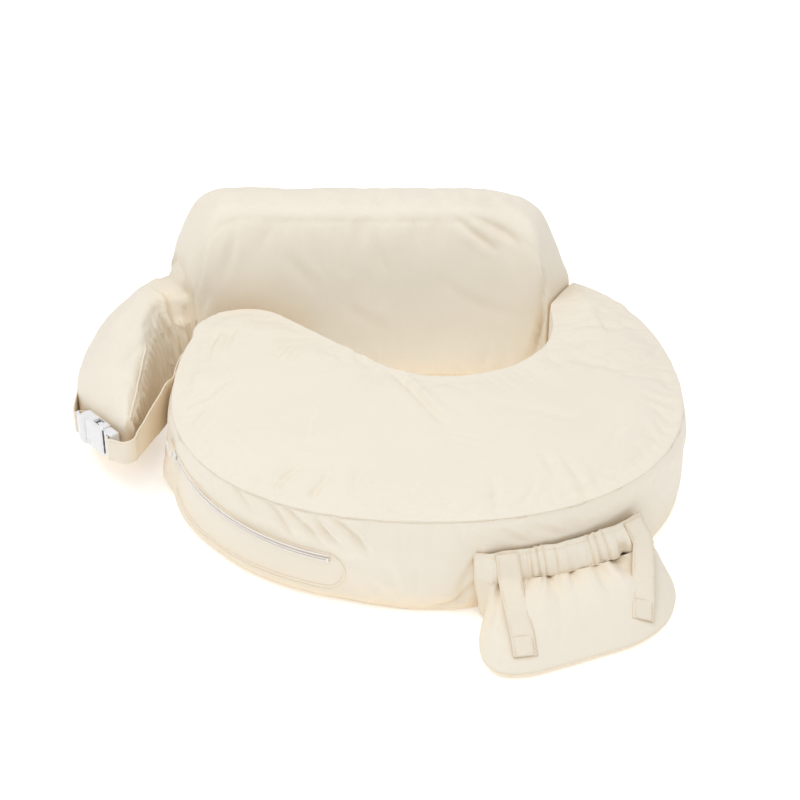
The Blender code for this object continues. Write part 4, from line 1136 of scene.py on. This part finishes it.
def crease_back(ob):
    """Puckers, pleats, creases and seam valleys, faded out at the foot and ends."""
    pts, normals = points_of(ob), normals_of(ob)
    station, f = back_info(pts)
    z = pts[:, 2]
    place = PLACES[station]
    foot = FEET[station]
    wing = smoothstep((place - PLACES[WING] + 4) / 18.0)
    height = 0.9 * waves(pts, length=90, seed=51) + 0.35 * ridged(pts, length=40, seed=61) \
        * smoothstep(waves(pts, length=110, seed=71) + 0.4)
    # puckers under and over the top seams of the back
    from_seam = np.where((f < 0.10) | (f > 0.9), np.maximum(TOPS[station] - 9 - z, 0),
                         np.minimum(f, 1 - f) * 62)
    pucker = line_waves(place, length=16, seed=15, n=8) \
        * (0.5 + 0.5 * line_waves(place, length=85, seed=16, n=5))
    height += 1.1 * pucker * np.exp(-from_seam / 12.0) * smoothstep(from_seam / 3.0) * (1 - wing)
    # gathered inner side of the wing
    inner = smoothstep((0.12 - f) / 0.1) * wing
    wander = 6 * np.sin(z / 30.0) + 4 * waves(pts, length=60, seed=81)
    pleat = 1.3 - 2.2 * np.abs(np.sin(math.pi * (place + wander) / 15.0)) ** 1.4
    height += inner * 2.9 * pleat * smoothstep((96 - z) / 34.0) * smoothstep((z - foot - 2) / 12.0)
    height += crease_field(pts, normals, BACK_CREASES) * (1 - wing)
    height += crease_field(pts, normals, WING_CREASES) * smoothstep(z / 60.0)
    # the seam where the wing joins the back: a valley across the top and down both faces
    joint = place - PLACES[WING] - 3 - 3.0 * waves(pts, length=70, seed=91)
    height += -4.2 * bell(joint, 4.5) * smoothstep((z - 20) / 30.0) \
        + 1.6 * bell(np.abs(joint) - 9, 5.0)
    keep = smoothstep((z - 0.6 - foot) / 10)
    by_hinge = np.where(pts[:, 0] > 60, smoothstep(-hinge_distance(pts) / 9.0), 1)
    keep *= by_hinge
    keep *= np.where(station > N_STATIONS - 4, 0.2, 1)
    height = height * keep
    # a narrow groove under the inner top edge, the seam of the top strip
    groove_z = np.array([top_at(k, 0.0) for k in range(N_STATIONS)])[station] - 10.0
    groove = bell(z - groove_z, 2.2) * (np.abs(f) < 0.12) \
        * smoothstep((WING - 10 - station) / 20.0) * smoothstep((station - 16) / 14.0)
    height -= 0.7 * groove * by_hinge
    set_points(ob, pts + normals * height[:, None])


back = build_back()
puff_back(back)
subdivide(back)
crease_back(back)
BACK_BVH = bvh_of(back)
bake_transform(back)
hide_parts("back_foam", "back_inner_panel", "back_outer_panel", "back_top_strip",
            "back_base_panel", "wing_base_panel", "wing_foam", "wing_outer_panel",
            "wing_inner_panel")


# ======================================================= seams of the platform
def platform_seam(name, z, out, sink, n, radius):
    offset = side_swell(z) + out - smoothstep(z / 100.0) * RING_SLUMP
    line = np.c_[RING + OUTWARD * offset[:, None], np.full(len(RING), z)][:SEWN]
    pts, _ = snap(PLATFORM_BVH, line, -sink)
    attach(tube(name, resample(pts, n), radius, SEAM), "pillow")


platform_seam("platform_top_seam", z=98.2, out=0.5, sink=0.15, n=620, radius=0.42)
# the seam of the bottom panel, drawn in by its thread
platform_seam("platform_bottom_seam", z=3.2, out=-4.0, sink=0.1, n=520, radius=0.6)


# ==================================================================== the zip
def beside_cover(angle, z):
    """A point 2 mm off the platform's outer side."""
    radius = float(np.interp(angle % (2 * math.pi), *SIDE_RADIUS)) + 2.0
    return (ZIP_C[0] + radius * math.cos(angle), ZIP_C[1] + radius * math.sin(angle), z)


def window_path(grow):
    """The window's edge moved out by grow and laid on the cover."""
    angles = np.linspace(WINDOW_START, WINDOW_END, 60)
    pts = [beside_cover(a, zip_point(a, 0, WINDOW_RISE)[2] + grow) for a in angles]
    for t in np.linspace(0, math.pi, 22)[1:-1]:
        pts.append(beside_cover(WINDOW_END + (END_R + grow) * math.sin(t) / ZIP_R,
                                END_Z + (END_R + grow) * math.cos(t)))
    pts += [beside_cover(a, WINDOW_LOW - grow)
            for a in np.linspace(WINDOW_END, WINDOW_START, 60)]
    return snap(PLATFORM_BVH, resample(pts, 240))


def window_hem():
    hem = strip("zip_window_hem", *window_path(0.2), width=2.2, height=0.8, mat=COVER,
                slot="cover_cloth", sink=0.7)
    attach(hem, "pillow")
    row = stitches("zip_window_stitches", *window_path(2.4), lift=0.1, length=2.2, pitch=3.4,
                   width=0.45)
    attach(row, "pillow")


# a tooth's outline: outward, height (turned over for every other tooth)
TOOTH = ((-0.5, -0.6), (0.7, -0.75), (1.3, -0.2), (1.3, 0.7), (0.6, 1.3), (-0.5, 1.25))
TOOTH_PITCH, TOOTH_HALF = 1.15, 0.42


def zip_coil():
    """Interlocking teeth and the cord in their middle."""
    verts, faces = [], []
    half = TOOTH_HALF / ZIP_R
    angles = np.arange(ZIP_START + 0.004, ZIP_END - 0.004, TOOTH_PITCH / ZIP_R)
    for k, angle in enumerate(angles):
        sign = 1 if k % 2 else -1
        faces += shifted(prism_faces(2, len(TOOTH)), len(verts))
        for a in (angle - half, angle + half):
            verts += [zip_point(a, out, dz * sign) for out, dz in TOOTH]
    coil = recalc(make("zip_coil_teeth", verts, faces, COIL, smooth=False))
    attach(coil, "pillow")
    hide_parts("zip_coil")
    cord = [zip_point(a, 0.05, 0) for a in np.linspace(ZIP_START, ZIP_END, 90)]
    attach(tube("zip_coil_cord", cord, 0.5, ZIP_TAPE), "pillow")


def zip_tape(cad_name, middle):
    angles = np.linspace(ZIP_START, ZIP_END, 120)
    path = [zip_point(a, -0.2, middle) for a in angles]
    normals = [(math.cos(a), math.sin(a), 0) for a in angles]
    tape = strip(cad_name + "_woven", path, normals, width=2.3, height=0.75, mat=ZIP_TAPE,
                 slot="zip_tape", sink=0.1)
    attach(tape, "pillow")
    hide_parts(cad_name)


def dress(name, mat, width):
    """A CAD node kept as it is, with its own material and softened edges."""
    ob = NODES[name]
    ob.data.materials.clear()
    ob.data.materials.append(mat)
    edges = ob.modifiers.new("edges", "BEVEL")
    edges.width = width * MM
    edges.segments = 2
    edges.limit_method = "ANGLE"
    edges.angle_limit = math.radians(35)
    edges.harden_normals = True
    edges.use_clamp_overlap = True


window_hem()
zip_coil()
zip_tape("zip_tape_upper", middle=2.85)
zip_tape("zip_tape_lower", middle=-2.85)
for part in ("zip_top_stop", "zip_bottom_stop", "zip_slider", "zip_pull_tab"):
    dress(part, ENAMEL, width=0.3)
for part in ("buckle_socket", "buckle_insert", "latch_arm_upper", "latch_arm_lower"):
    dress(part, PLASTIC, width=0.5)


# =========================================================== straps and loops
def at_buckle(along, across, z=0.0):
    run_x, run_y = BUCKLE_DIR
    return (BUCKLE_AT[0] + run_x * along - run_y * across,
            BUCKLE_AT[1] + run_y * along + run_x * across, BUCKLE_Z + z)


def buckle_plan(table):
    return [at_buckle(along, across)[:2] for along, across in table]


def spread(values, n):
    """Values spread evenly over n places."""
    return np.interp(np.linspace(0, 1, n), np.linspace(0, 1, len(values)), values)


def ribbon(name, path, z_low, z_high, thickness, n, rows, sway):
    """A strap standing on edge, slightly uneven, with rounded edges."""
    plan = resample(path, n)
    low, high = spread(z_low, n), spread(z_high, n)
    side = left_normals(plan)
    verts = []
    for r in range(rows):
        row = np.c_[plan, low + (high - low) * (r / (rows - 1))]
        row[:, :2] += side * (waves(row, length=30, seed=77) * sway)[:, None]
        verts.append(row)
    ob = make(name, np.vstack(verts), grid_faces(rows, n), STRAP)
    thicken(ob, thickness, rounded=True)
    return ob


def ribbon_stitches(name, path, z, out, n):
    """Stitches on the left of the path, or on its right for a negative out."""
    plan = resample(path, n)
    side = left_normals(plan)
    return stitches(name, np.c_[plan + side * out, spread(z, n)],
                    np.c_[side * np.sign(out), np.zeros(n)], lift=0.0, length=2.4, pitch=3.8,
                    slot="webbing")


def lifted(heights, dz):
    return [z + dz for z in heights]


PLATFORM_SIDE = resample(oval_line(400), 76)


def left_side(distance, y_low, y_high):
    """Part of the platform's left side, moved off it."""
    return [tuple(p) for p in to_right(PLATFORM_SIDE, distance)
            if y_low < p[1] < y_high and p[0] < -200]


# the strap: along the platform, free to the buckle, then round the insert's bar
STRAP_START = left_side(-2.6, 128, 182)[::-1]
STRAP_TURN = [(-283.5, 66.0), (-285.5, 58.5), (-291.0, 54.0), (-298.0, 52.6)] + buckle_plan(
    [(-3.0, 5.4), (0.2, 7.6), (3.4, 6.8), (5.0, 3.0), (5.0, -3.0), (3.6, -7.6)])
STRAP_LOW = [49, 49, 49, 48, 46, 43.5, 42, 42, 42]
STRAP_HIGH = [94, 94, 93.5, 91, 83, 74, 68, 67, 67]
STRAP_INSET = 2.4        # stitches from the strap's edges
WEB_HALF = 12.2          # half height of the loop's webbing
WEB_STITCH = 9.8         # its stitches from the middle


def build_strap():
    leave, arrive = np.array(STRAP_START[-1]), np.array(STRAP_TURN[0])
    free = [tuple(leave + (arrive - leave) * t) for t in (0.12, 0.35, 0.6, 0.85)]
    free[0] = (free[0][0] - 1.5, free[0][1])
    path = smooth_line(STRAP_START + free + STRAP_TURN, 160)
    strap = ribbon("strap_cloth", path, STRAP_LOW, STRAP_HIGH, thickness=1.6, n=170, rows=15,
                   sway=0.35)
    rows = [(STRAP_HIGH, -STRAP_INSET, 1.0), (STRAP_LOW, STRAP_INSET, 1.0),
            (STRAP_HIGH, -STRAP_INSET, -1.0), (STRAP_LOW, STRAP_INSET, -1.0)]
    pieces = [strap] + [
        ribbon_stitches("strap_stitches_%d" % i, path, lifted(heights, dz), out, n=170)
        for i, (heights, dz, out) in enumerate(rows)]
    for ob in pieces:
        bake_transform(ob)
    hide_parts("strap_webbing")


def build_tail():
    """The strap's tail, lying beside the strap's free run."""
    start, end = np.array(STRAP_TURN[0]), np.array(STRAP_START[-1])
    run = (end - start) / np.hypot(*(end - start))
    side = np.array([-run[1], run[0]])
    path = [tuple(start + run * dist + side * 2.9) for dist in np.linspace(9, 36, 8)]
    tail = ribbon("strap_tail_cloth", path, lifted([-12.0, -1.5], BUCKLE_Z),
                  lifted([12.0, 23.5], BUCKLE_Z), thickness=1.3, n=24, rows=11, sway=0.15)
    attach(tail, "strap_tail")
    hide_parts("strap_tail")
    for i, dz in enumerate((-WEB_STITCH, WEB_STITCH)):
        row = ribbon_stitches("tail_stitches_%d" % i, path, lifted([dz, dz + 11], BUCKLE_Z),
                              out=0.9, n=24)
        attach(row, "strap_tail")


def build_patch():
    """The patch sewn on the platform under the strap's end."""
    rows, cols = 24, 60
    z_low, z_high = 44, 96
    plan = resample(left_side(-0.6, 120, 186), cols)
    grid = []
    for r in range(rows):
        z = z_low + (z_high - z_low) * r / (rows - 1)
        grid.append(snap(PLATFORM_BVH, np.c_[plan, np.full(cols, z)], 0.45)[0])
    patch = make("strap_patch_cloth", np.vstack(grid), grid_faces(rows, cols), STRAP)
    thicken(patch, 0.9)
    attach(patch, "pillow")
    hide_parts("strap_anchor_patch")
    border = np.array([grid[r][2] for r in range(2, 22)] + [grid[21][c] for c in range(3, 57)]
                      + [grid[r][57] for r in range(20, 1, -1)]
                      + [grid[2][c] for c in range(56, 1, -1)])
    pts, normals = snap(PLATFORM_BVH, border)
    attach(stitches("strap_patch_stitches", pts + normals * 0.9, normals, lift=0.0,
                     slot="webbing"), "pillow")


def build_loop():
    """The webbing loop between the buckle's socket and the wing's outer side."""
    wing_side = [tuple(p) for p in to_right(back_stations(80)[1], 1.7)
                 if 150 < p[1] < 196 and p[0] < -300]
    round_bar = buckle_plan([(48.2, 4.6), (48.2, 0), (48.4, -5.6), (50.6, -7.6), (54.0, -7.2),
                             (57.5, -4.6), (62.0, -0.5), (68.0, 3.8)])
    path = smooth_line(round_bar + wing_side[::-1], 90)
    loop = ribbon("wing_loop_webbing", path, [BUCKLE_Z - WEB_HALF] * 2,
                  [BUCKLE_Z + WEB_HALF] * 2, thickness=1.4, n=110, rows=11, sway=0.2)
    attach(loop, "back_support")
    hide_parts("wing_webbing_loop")
    for i, dz in enumerate((-WEB_STITCH, WEB_STITCH)):
        for letter, out in (("b", -0.85), ("a", 0.85)):
            row = ribbon_stitches("loop_stitches_%d%s" % (i, letter), path, [BUCKLE_Z + dz] * 2,
                                  out, n=110)
            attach(row, "back_support")


# sections of the socket's rear: along the buckle, outer side, inner side, half height
SOCKET_REAR = [(43.5, 6.9, 5.2, 14.5), (45, 7.8, 5.0, 16.3), (50, 8.4, 5.4, 16.6),
               (54.5, 8.2, 5.2, 16.2), (58, 7.0, 3.2, 14.8), (60.6, 5.0, 1.2, 12.4),
               (62.2, 2.4, 0.4, 9.0)]


def build_socket_rear():
    cols = 40
    verts = []
    for along, outer, inner, half in SOCKET_REAR:
        lift = 2.2 * smoothstep((along - 52) / 10.0)
        for angle in np.linspace(0, 2 * math.pi, cols, endpoint=False):
            across = (outer + inner) / 2 \
                + (outer - inner) / 2 * signed_power(math.cos(angle), 0.5)
            z = half * signed_power(math.sin(angle), 0.28)
            verts.append(at_buckle(along, across, z + lift))
    verts = np.array(verts)
    faces = grid_faces(len(SOCKET_REAR), cols, wrap=True)
    for row in (0, len(SOCKET_REAR) - 1):
        verts = close_end(verts, faces, row * cols, cols)
    rear = recalc(make("buckle_socket_rear", verts, faces, PLASTIC))
    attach(rear, "back_support")


build_strap()
build_tail()
build_patch()
build_loop()
build_socket_rear()

# ===================================================================== pocket
N_POCKET = 160     # columns across the pocket
KEEP = 0.88        # share of the pocket's line that the casing covers


def band_line(x_left, x_right, out, n, flare=0.0):
    """A line in front of the platform's side, flaring out towards the right."""
    angles = np.linspace(oval_front_angle(x_left), oval_front_angle(x_right), n)
    pts = resample([oval(a) for a in angles], n)
    return pts - left_normals(pts) * (out + flare * np.linspace(0, 1, n) ** 2)[:, None]


def casing_line(out, flare=12.0):
    return resample(band_line(52.0, 202.0, out, 400, flare)[:int(400 * KEEP)], N_POCKET)


MOUTH = casing_line(15.5)
CASING_TOP = casing_line(3.2, flare=4.0)
CASING_FOOT = casing_line(16.2)
BAG_FOOT = smooth_line(
    [(49, -140), (43.5, -172), (45.5, -201), (60, -218), (84, -219), (112, -209), (148, -193.5),
     (184, -176.5), (210, -152), (222, -124), (225, -98), (220, -68), (210, -50)], N_POCKET)
BAND = band_line(50.0, 190.0, 0.9, N_POCKET)
ACROSS = np.linspace(0, 1, N_POCKET)
MOUTH_ARC = arc_lengths(MOUTH)


def ruffle(pitch, seed, length, sharpness, level, drift=0.5, slow=0.0):
    """Rounded puffs with sharp valleys between them, unevenly spaced."""
    phase = MOUTH_ARC / pitch + drift * line_waves(MOUTH_ARC, length, seed, n=5) + slow
    return np.abs(np.sin(math.pi * phase)) ** sharpness - level


def mouth_gathers():
    slow = 0.3 * line_waves(MOUTH_ARC, length=80, seed=202, n=4)
    large = ruffle(pitch=15.5, seed=201, length=34, sharpness=0.55, level=0.62, drift=0.42,
                   slow=slow)
    small = ruffle(pitch=7.1, seed=206, length=25, sharpness=0.6, level=0.6)
    return (large * 1.5 + small * 0.45) \
        * (0.75 + 0.4 * line_waves(MOUTH_ARC, length=48, seed=203, n=4))


GATHERS = mouth_gathers()

# folds that hang from the casing: amount, place across, its drift and curve on the way
# down, width, its growth on the way down, how far down the fold reaches
HANGING_FOLDS = [
    (-13.0, 0.735, -0.02, 0.0, 0.040, 0.03, 0.36), (5.5, 0.66, -0.10, 0.30, 0.026, 0.02, 0.5),
    (-6.0, 0.605, -0.02, 0.0, 0.020, 0.03, 0.40), (-9.0, 0.33, 0.16, 0.0, 0.022, 0.03, 0.33),
    (4.0, 0.27, 0.10, 0.0, 0.030, 0.02, 0.5), (-6.5, 0.46, 0.02, 0.0, 0.020, 0.03, 0.25),
    (3.0, 0.53, 0.0, 0.0, 0.035, 0.0, 0.4),
]
# folds near the bag's ends: amount, place across, drift, width, growth, start, power
END_FOLDS = [(-4.5, 0.065, 0.06, 0.020, 0.02, 0.15, 0.7), (-3.5, 0.90, -0.04, 0.020, 0.0, 0.2, 1)]
# pinches of the casing: place across, width, depth
PINCHES = ((0.235, 0.008, 2.6), (0.275, 0.009, 3.2), (0.315, 0.008, 2.6), (0.60, 0.010, 3.2),
           (0.645, 0.012, 3.4), (0.70, 0.009, 2.4))


def bag_row(t):
    """One row of the pocket's front, t 0 under the casing to 1 at the foot."""
    belly = math.sin(math.pi * t)
    # near t = 1 the sine may fall a hair below zero
    rise = 9.5 * max(belly, 0.0) ** 0.9 * (0.45 + 0.55 * np.sin(math.pi * ACROSS))
    row = np.c_[MOUTH + (BAG_FOOT - MOUTH) * t, CASING_Z + (7.0 - CASING_Z) * t + rise]
    out = 3.6 * GATHERS * (math.exp(-t / 0.32) * smoothstep((t + 0.06) / 0.08))
    for amount, place, drift, curve, width, growth, reach in HANGING_FOLDS:
        place = place + drift * t + curve * t * t
        out += amount * bell(ACROSS - place, width + growth * t) * bell(t, reach)
    for amount, place, drift, width, growth, start, power in END_FOLDS:
        out += amount * bell(ACROSS - place - drift * t, width + growth * t) \
            * math.sin(math.pi * min(t + start, 1)) ** power
    out += (1.0 * waves(row, length=42, seed=210) + 0.4 * waves(row, length=17, seed=214)) * belly
    # folds stand out to the front and partly up
    row[:, :2] -= left_normals(row) * (out * 0.75)[:, None]
    row[:, 2] += out * 0.45 * (1 if t < 0.9 else 0.2)
    return row


def side_columns(row, left):
    """Gusset columns from an end of a row back to the platform's side: a soft fold."""
    end = row[0] if left else row[-1]
    root = BAND[0] if left else BAND[-1]
    z = end[2]
    high = smoothstep(z / 45.0)
    if left:
        outward = np.array([-1.0, 0.1])
        amount = 4.0 + 8.5 * high
    else:
        outward = np.array([0.80, -0.25])
        amount = 3.0 + 5.0 * math.sin(math.pi * min(z / 46.0, 1.0))
    columns = []
    for f in (0.93, 0.84, 0.74, 0.63, 0.52, 0.40, 0.27, 0.13, 0.0):
        column = np.r_[root + (end[:2] - root) * f, z]
        column[:2] += outward * (amount * math.sin(math.pi * f) ** 0.8
                                 - 3.4 * high * bell(f - 0.88, 0.07))
        columns.append(column)
    return columns


def with_sides(rows, n_left, n_right):
    """Rows lengthened by their nearest gusset columns on both sides."""
    return [np.vstack([side_columns(row, True)[:n_left][::-1], row,
                       side_columns(row, False)[:n_right]]) for row in rows]


def build_bag():
    rows = [bag_row(t) for t in np.linspace(0, 1, 56)]
    foot = rows[-1][:, :2]
    # the foot turns under: z, inset
    for z, inset in ((4.6, 0.9), (2.6, 2.8), (1.3, 5.6)):
        rows.append(np.c_[foot + left_normals(BAG_FOOT) * inset, np.full(N_POCKET, z)])
    rows = with_sides(rows, 9, 9)
    bag = make("pocket_bag", np.vstack(rows), grid_faces(len(rows), len(rows[0])), COVER)
    thicken(bag, 1.1)
    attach(bag, "pocket")
    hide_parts("pocket_front_panel", "pocket_side_left", "pocket_side_right")
    return bag


def casing_row(f):
    """One row of the gathered casing, f 0 at its top to 1 at its foot."""
    plan = CASING_TOP + (CASING_FOOT - CASING_TOP) * f ** 0.8
    # near f = 1 the sine may fall a hair below zero
    belly = max(math.sin(math.pi * f), 0.0)
    edge = 1 if 0.04 < f < 0.96 else 0.3
    row = np.c_[plan, np.full(N_POCKET, POCKET_Z + (CASING_Z - POCKET_Z) * f)]
    out = 2.7 * GATHERS * (0.5 + 0.5 * belly) * edge + 1.3 * belly ** 0.8 \
        + 0.5 * waves(row, length=20, seed=230)
    for place, width, depth in PINCHES:
        out -= depth * bell(ACROSS - place, width) * edge
    # a hollow towards the right end
    out -= 6.0 * bell(ACROSS - 0.80, 0.035) * smoothstep((f - 0.35) / 0.5)
    row[:, :2] -= left_normals(plan) * out[:, None]
    row[:, 2] += 0.7 * line_waves(MOUTH_ARC, length=22, seed=233) * (1 if f < 0.3 else 0.6)
    return row


def build_casing():
    rows = with_sides([casing_row(f) for f in np.linspace(0, 1, 20)], 7, 5)
    casing = make("pocket_casing_gathered", np.vstack(rows),
                  grid_faces(len(rows), len(rows[0])), COVER)
    thicken(casing, 2.0, offset=0.2, rounded=True)
    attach(casing, "pocket")
    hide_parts("pocket_casing", "pocket_elastic")
    for i, f in enumerate((0.10, 0.90)):
        row = casing_row(f)
        out = np.c_[-left_normals(row), np.zeros(N_POCKET)]
        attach(stitches("casing_stitches_%d" % i, row + out * 1.15, out, lift=0.1, length=2.0,
                         pitch=3.2, width=0.5), "pocket")


def build_pocket_back():
    """The pocket's back, sewn to the platform's side."""
    rows = []
    for z in np.linspace(1.6, POCKET_Z - 6.0, 22):
        row = np.c_[BAND, np.full(N_POCKET, z)]
        out = 0.3 + 0.25 * waves(row, length=26, seed=240)
        row[:, :2] -= left_normals(BAND) * out[:, None]
        rows.append(row)
    panel = make("pocket_back_cloth", np.vstack(rows), grid_faces(22, N_POCKET), LINING)
    thicken(panel, 0.9)
    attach(panel, "pocket")
    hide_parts("pocket_back_panel")


def build_pocket_floor():
    front = BAG_FOOT + left_normals(BAG_FOOT) * 5.0
    ring = np.vstack([front[::3], band_line(60.0, 198.0, 3.6, 40)[::-1]])
    pts, dist, faces = fill_ring(ring, step=6.0, margin=3.0)
    z = 0.9 + 0.25 * waves(np.c_[pts, pts[:, 0] * 0], length=35, seed=250) * (dist > 1)
    panel = make("pocket_floor_cloth", np.c_[pts, z], faces, LINING)
    thicken(panel, 0.7)
    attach(panel, "pocket")
    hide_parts("pocket_base_panel")


N_TAPE, TAPE_COLS, TAPE_WIDTH = 60, 13, 21.5


def tape_path(top, end_across, end_down):
    """Over the casing at a place across, then hanging to a place on the bag."""
    path = []
    outward = interp_rows(top, ACROSS, -left_normals(CASING_FOOT))
    for f in np.linspace(0.0, 0.8, 12):
        row = casing_row(0.0) * (1 - f) + casing_row(1.0) * f
        point = interp_rows(top, ACROSS, row)
        point[:2] += outward * (4.2 + 1.0 * math.sin(math.pi * f))
        path.append(point)
    hang = path[-1].copy()
    # from there it hangs in a straight run, resting on the bag
    end = interp_rows(end_across, ACROSS, bag_row(end_down))
    for t in np.linspace(0.0, 1.0, 40)[3:]:
        x, y = hang[:2] + (end[:2] - hang[:2]) * t
        straight = hang[2] + (end[2] + 1.4 - hang[2]) * t
        hit = BAG_BVH.ray_cast(Vector((x, y, 200.0)), Vector((0, 0, -1)))[0]
        surface = hit[2] + 1.5 if hit is not None else straight
        rest = smoothstep((t - 0.5) / 0.25)
        z = surface * rest + max(straight, surface) * (1 - rest)
        path.append(np.array([x, y, z]))
    return eased(resample(np.array(path), N_TAPE), 12)


def build_tape(side, top, end_across, end_down):
    """A flat tape lying on the folds rather than in them."""
    name = "pocket_tape_%s_cloth" % side
    path = tape_path(top, end_across, end_down)
    mouth_run = interp_rows(top, ACROSS, unit(np.gradient(MOUTH, axis=0)))
    run = unit(np.gradient(path, axis=0))
    normals = unit(np.cross(np.r_[mouth_run, 0.0], run))
    # the normals must point out of the pocket
    outward = np.r_[-left_normals(MOUTH)[0], 0]
    if normals[N_TAPE // 2][2] < 0 and normals[2] @ outward < 0:
        normals = -normals
    across = np.cross(run, normals)

    def at(i, u, lift):
        return path[i] + across[i] * TAPE_WIDTH * u + normals[i] * lift

    verts = []
    for i in range(N_TAPE):
        for c in range(TAPE_COLS):
            u = c / (TAPE_COLS - 1) - 0.5
            curl = -0.5 * (2 * u) ** 4
            verts.append(at(i, u, curl + 0.35 * math.sin(i * 0.35 + 5 * u)))
    tape = make(name, verts, grid_faces(N_TAPE, TAPE_COLS), STRAP)
    thicken(tape, 1.3)
    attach(tape, "pocket")
    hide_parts("pocket_tape_" + side)
    for i, u in enumerate((-0.41, 0.41)):
        line = path + across * TAPE_WIDTH * u + normals * 0.72
        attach(stitches("%s_edge_%d" % (name, i), line, normals, lift=0.05, length=2.2,
                         pitch=3.4, width=0.5, slot="webbing"), "pocket")
    # a box of stitches at the lower end
    first, last = int(N_TAPE * 0.80), int(N_TAPE * 0.975)
    corners = [(first, -0.36), (first, 0.36)] + [(i, 0.36) for i in range(first, last, 2)] \
        + [(last, 0.36), (last, -0.36)] + [(i, -0.36) for i in range(last, first, -2)] \
        + [(first, -0.36)]
    box = [at(i, u, 0.75) for i, u in corners]
    up = np.tile(normals[(first + last) // 2], (len(box), 1))
    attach(stitches(name + "_box", box, up, lift=0.05, length=1.8, pitch=2.8, width=0.5,
                     slot="webbing"), "pocket")


BAG_BVH = bvh_of(build_bag())
build_casing()
build_pocket_back()
build_pocket_floor()
build_tape("left", top=0.100, end_across=0.288, end_down=0.875)
build_tape("right", top=0.925, end_across=0.640, end_down=0.86)


# ================================================= seams of the back and wing
def back_seam(name, line, height, last, radius=0.5):
    """A seam along a face's plan line at height(station)."""
    path = [(line[k][0], line[k][1], height(k)) for k in range(2, last)]
    pts, normals = snap(BACK_BVH, resample(path, 400), -0.1)
    seam = tube(name, pts, radius, SEAM, normals=normals)
    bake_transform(seam)


def wing_ridge(index, dz, radius):
    """A ridge under the wing's inner top edge, laid on the cover's own line."""
    line = []
    for k in range(WING + 1, N_STATIONS - 3):
        across = LINE_OUT[k] - LINE_IN[k]
        across = across / max(np.hypot(*across), 1e-6)
        top = top_at(k, 0.0)
        plan = LINE_IN[k] + across * (LEAN[k] * (top + dz) / top)
        line.append((plan[0], plan[1], top + dz))
    pts, normals = snap(BACK_BVH, resample(line, 200))
    pts, normals = eased(pts, 14), eased(normals, 14)
    # the ridge rises out of the cloth part way along, and only then stands proud
    t = np.linspace(0, 1, len(pts))
    under = (radius + 0.5) * (1 - smoothstep((t - 0.34 - 0.05 * index) / 0.22))
    shown = t > 0.33
    pts, normals, under = pts[shown], normals[shown], under[shown]
    ridge = tube("wing_ridge_%d" % index, pts - normals * (0.1 + under)[:, None], radius, COVER,
                 sides=10, normals=normals)
    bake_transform(ridge)


def foot_seam_z(k):
    return FEET[k] + 5.0


back_seam("back_outer_top_seam", LINE_OUT, lambda k: top_at(k, 1.0) - 10.0, WING - 1,
          radius=0.45)
wing_ridge(0, dz=-6.0, radius=1.15)
wing_ridge(1, dz=-13.0, radius=0.8)
back_seam("back_base_seam_inner", LINE_IN, foot_seam_z, N_STATIONS - 4)
back_seam("back_base_seam_outer", LINE_OUT, foot_seam_z, N_STATIONS - 4)


# ============================================ camera, light and floor, in metres
def add_camera(target, distance, elevation):
    """A camera in front of the pillow, looking down at the target."""
    data = bpy.data.cameras.new("camera")
    cam = bpy.data.objects.new("camera", data)
    bpy.context.scene.collection.objects.link(cam)
    cam.location = target + distance * Vector((0.0, -math.cos(elevation), math.sin(elevation)))
    cam.rotation_euler = (target - cam.location).to_track_quat("-Z", "Y").to_euler()
    data.sensor_width = 36.0
    data.lens = 81.0
    data.shift_y = 0.0375
    data.clip_start = 0.05
    data.clip_end = 50.0
    bpy.context.scene.camera = cam


def area_light(name, place, size, power, colour=(1, 1, 1)):
    """A rectangular light aimed at the pillow."""
    light = bpy.data.lights.new(name, "AREA")
    light.shape = "RECTANGLE"
    light.size, light.size_y = size
    light.energy = power
    light.color = colour
    ob = bpy.data.objects.new(name, light)
    ob.location = place
    aim = Vector((0, 0.1, 0.05)) - Vector(place)
    ob.rotation_euler = aim.to_track_quat("-Z", "Y").to_euler()
    bpy.context.scene.collection.objects.link(ob)


def add_world():
    scene = bpy.context.scene
    world = bpy.data.worlds.new("studio")
    scene.world = world
    world.use_nodes = True
    set_inputs(world.node_tree.nodes["Background"],
               {"Color": (1.0, 1.0, 1.0, 1.0), "Strength": 0.52})
    scene.view_settings.view_transform = "Standard"
    scene.view_settings.look = "None"


def add_floor():
    mesh = bpy.data.meshes.new("floor")
    mesh.from_pydata([(-6, -6, 0), (6, -6, 0), (6, 6, 0), (-6, 6, 0)], [], [(0, 1, 2, 3)])
    floor = bpy.data.objects.new("floor", mesh)
    floor.location = (0, 0, -0.0006)
    mat, nt, shader = new_material("floor_paper")
    coords = nt.nodes.new("ShaderNodeTexCoord").outputs["Object"]
    tone = noise(nt, coords, Scale=3.0, Detail=2.0)
    paper = mix_colour(nt, tone, (0.97, 0.97, 0.97), (0.985, 0.985, 0.985))
    nt.links.new(paper, shader.inputs["Base Color"])
    set_inputs(shader, {"Roughness": 0.9, "Specular IOR Level": 0.1,
                        "Emission Color": (1, 1, 1, 1), "Emission Strength": 0.30})
    mesh.materials.append(mat)
    bpy.context.scene.collection.objects.link(floor)


add_camera(Vector((-0.027, 0.101, 0.05)), distance=1.8, elevation=math.radians(33.0))
area_light("key", (-0.95, 0.1, 2.0), size=(1.1, 1.1), power=16.5, colour=(1.0, 0.99, 0.975))
area_light("front_high", (0.25, -1.25, 2.15), size=(1.8, 1.2), power=11.5)
area_light("fill_right", (1.5, -0.5, 1.9), size=(1.6, 1.4), power=7)
area_light("front_low", (-0.1, -2.3, 0.8), size=(2.2, 0.9), power=2.2)
area_light("rear", (0.3, 2.3, 1.6), size=(2.0, 1.2), power=4)
add_world()
add_floor()
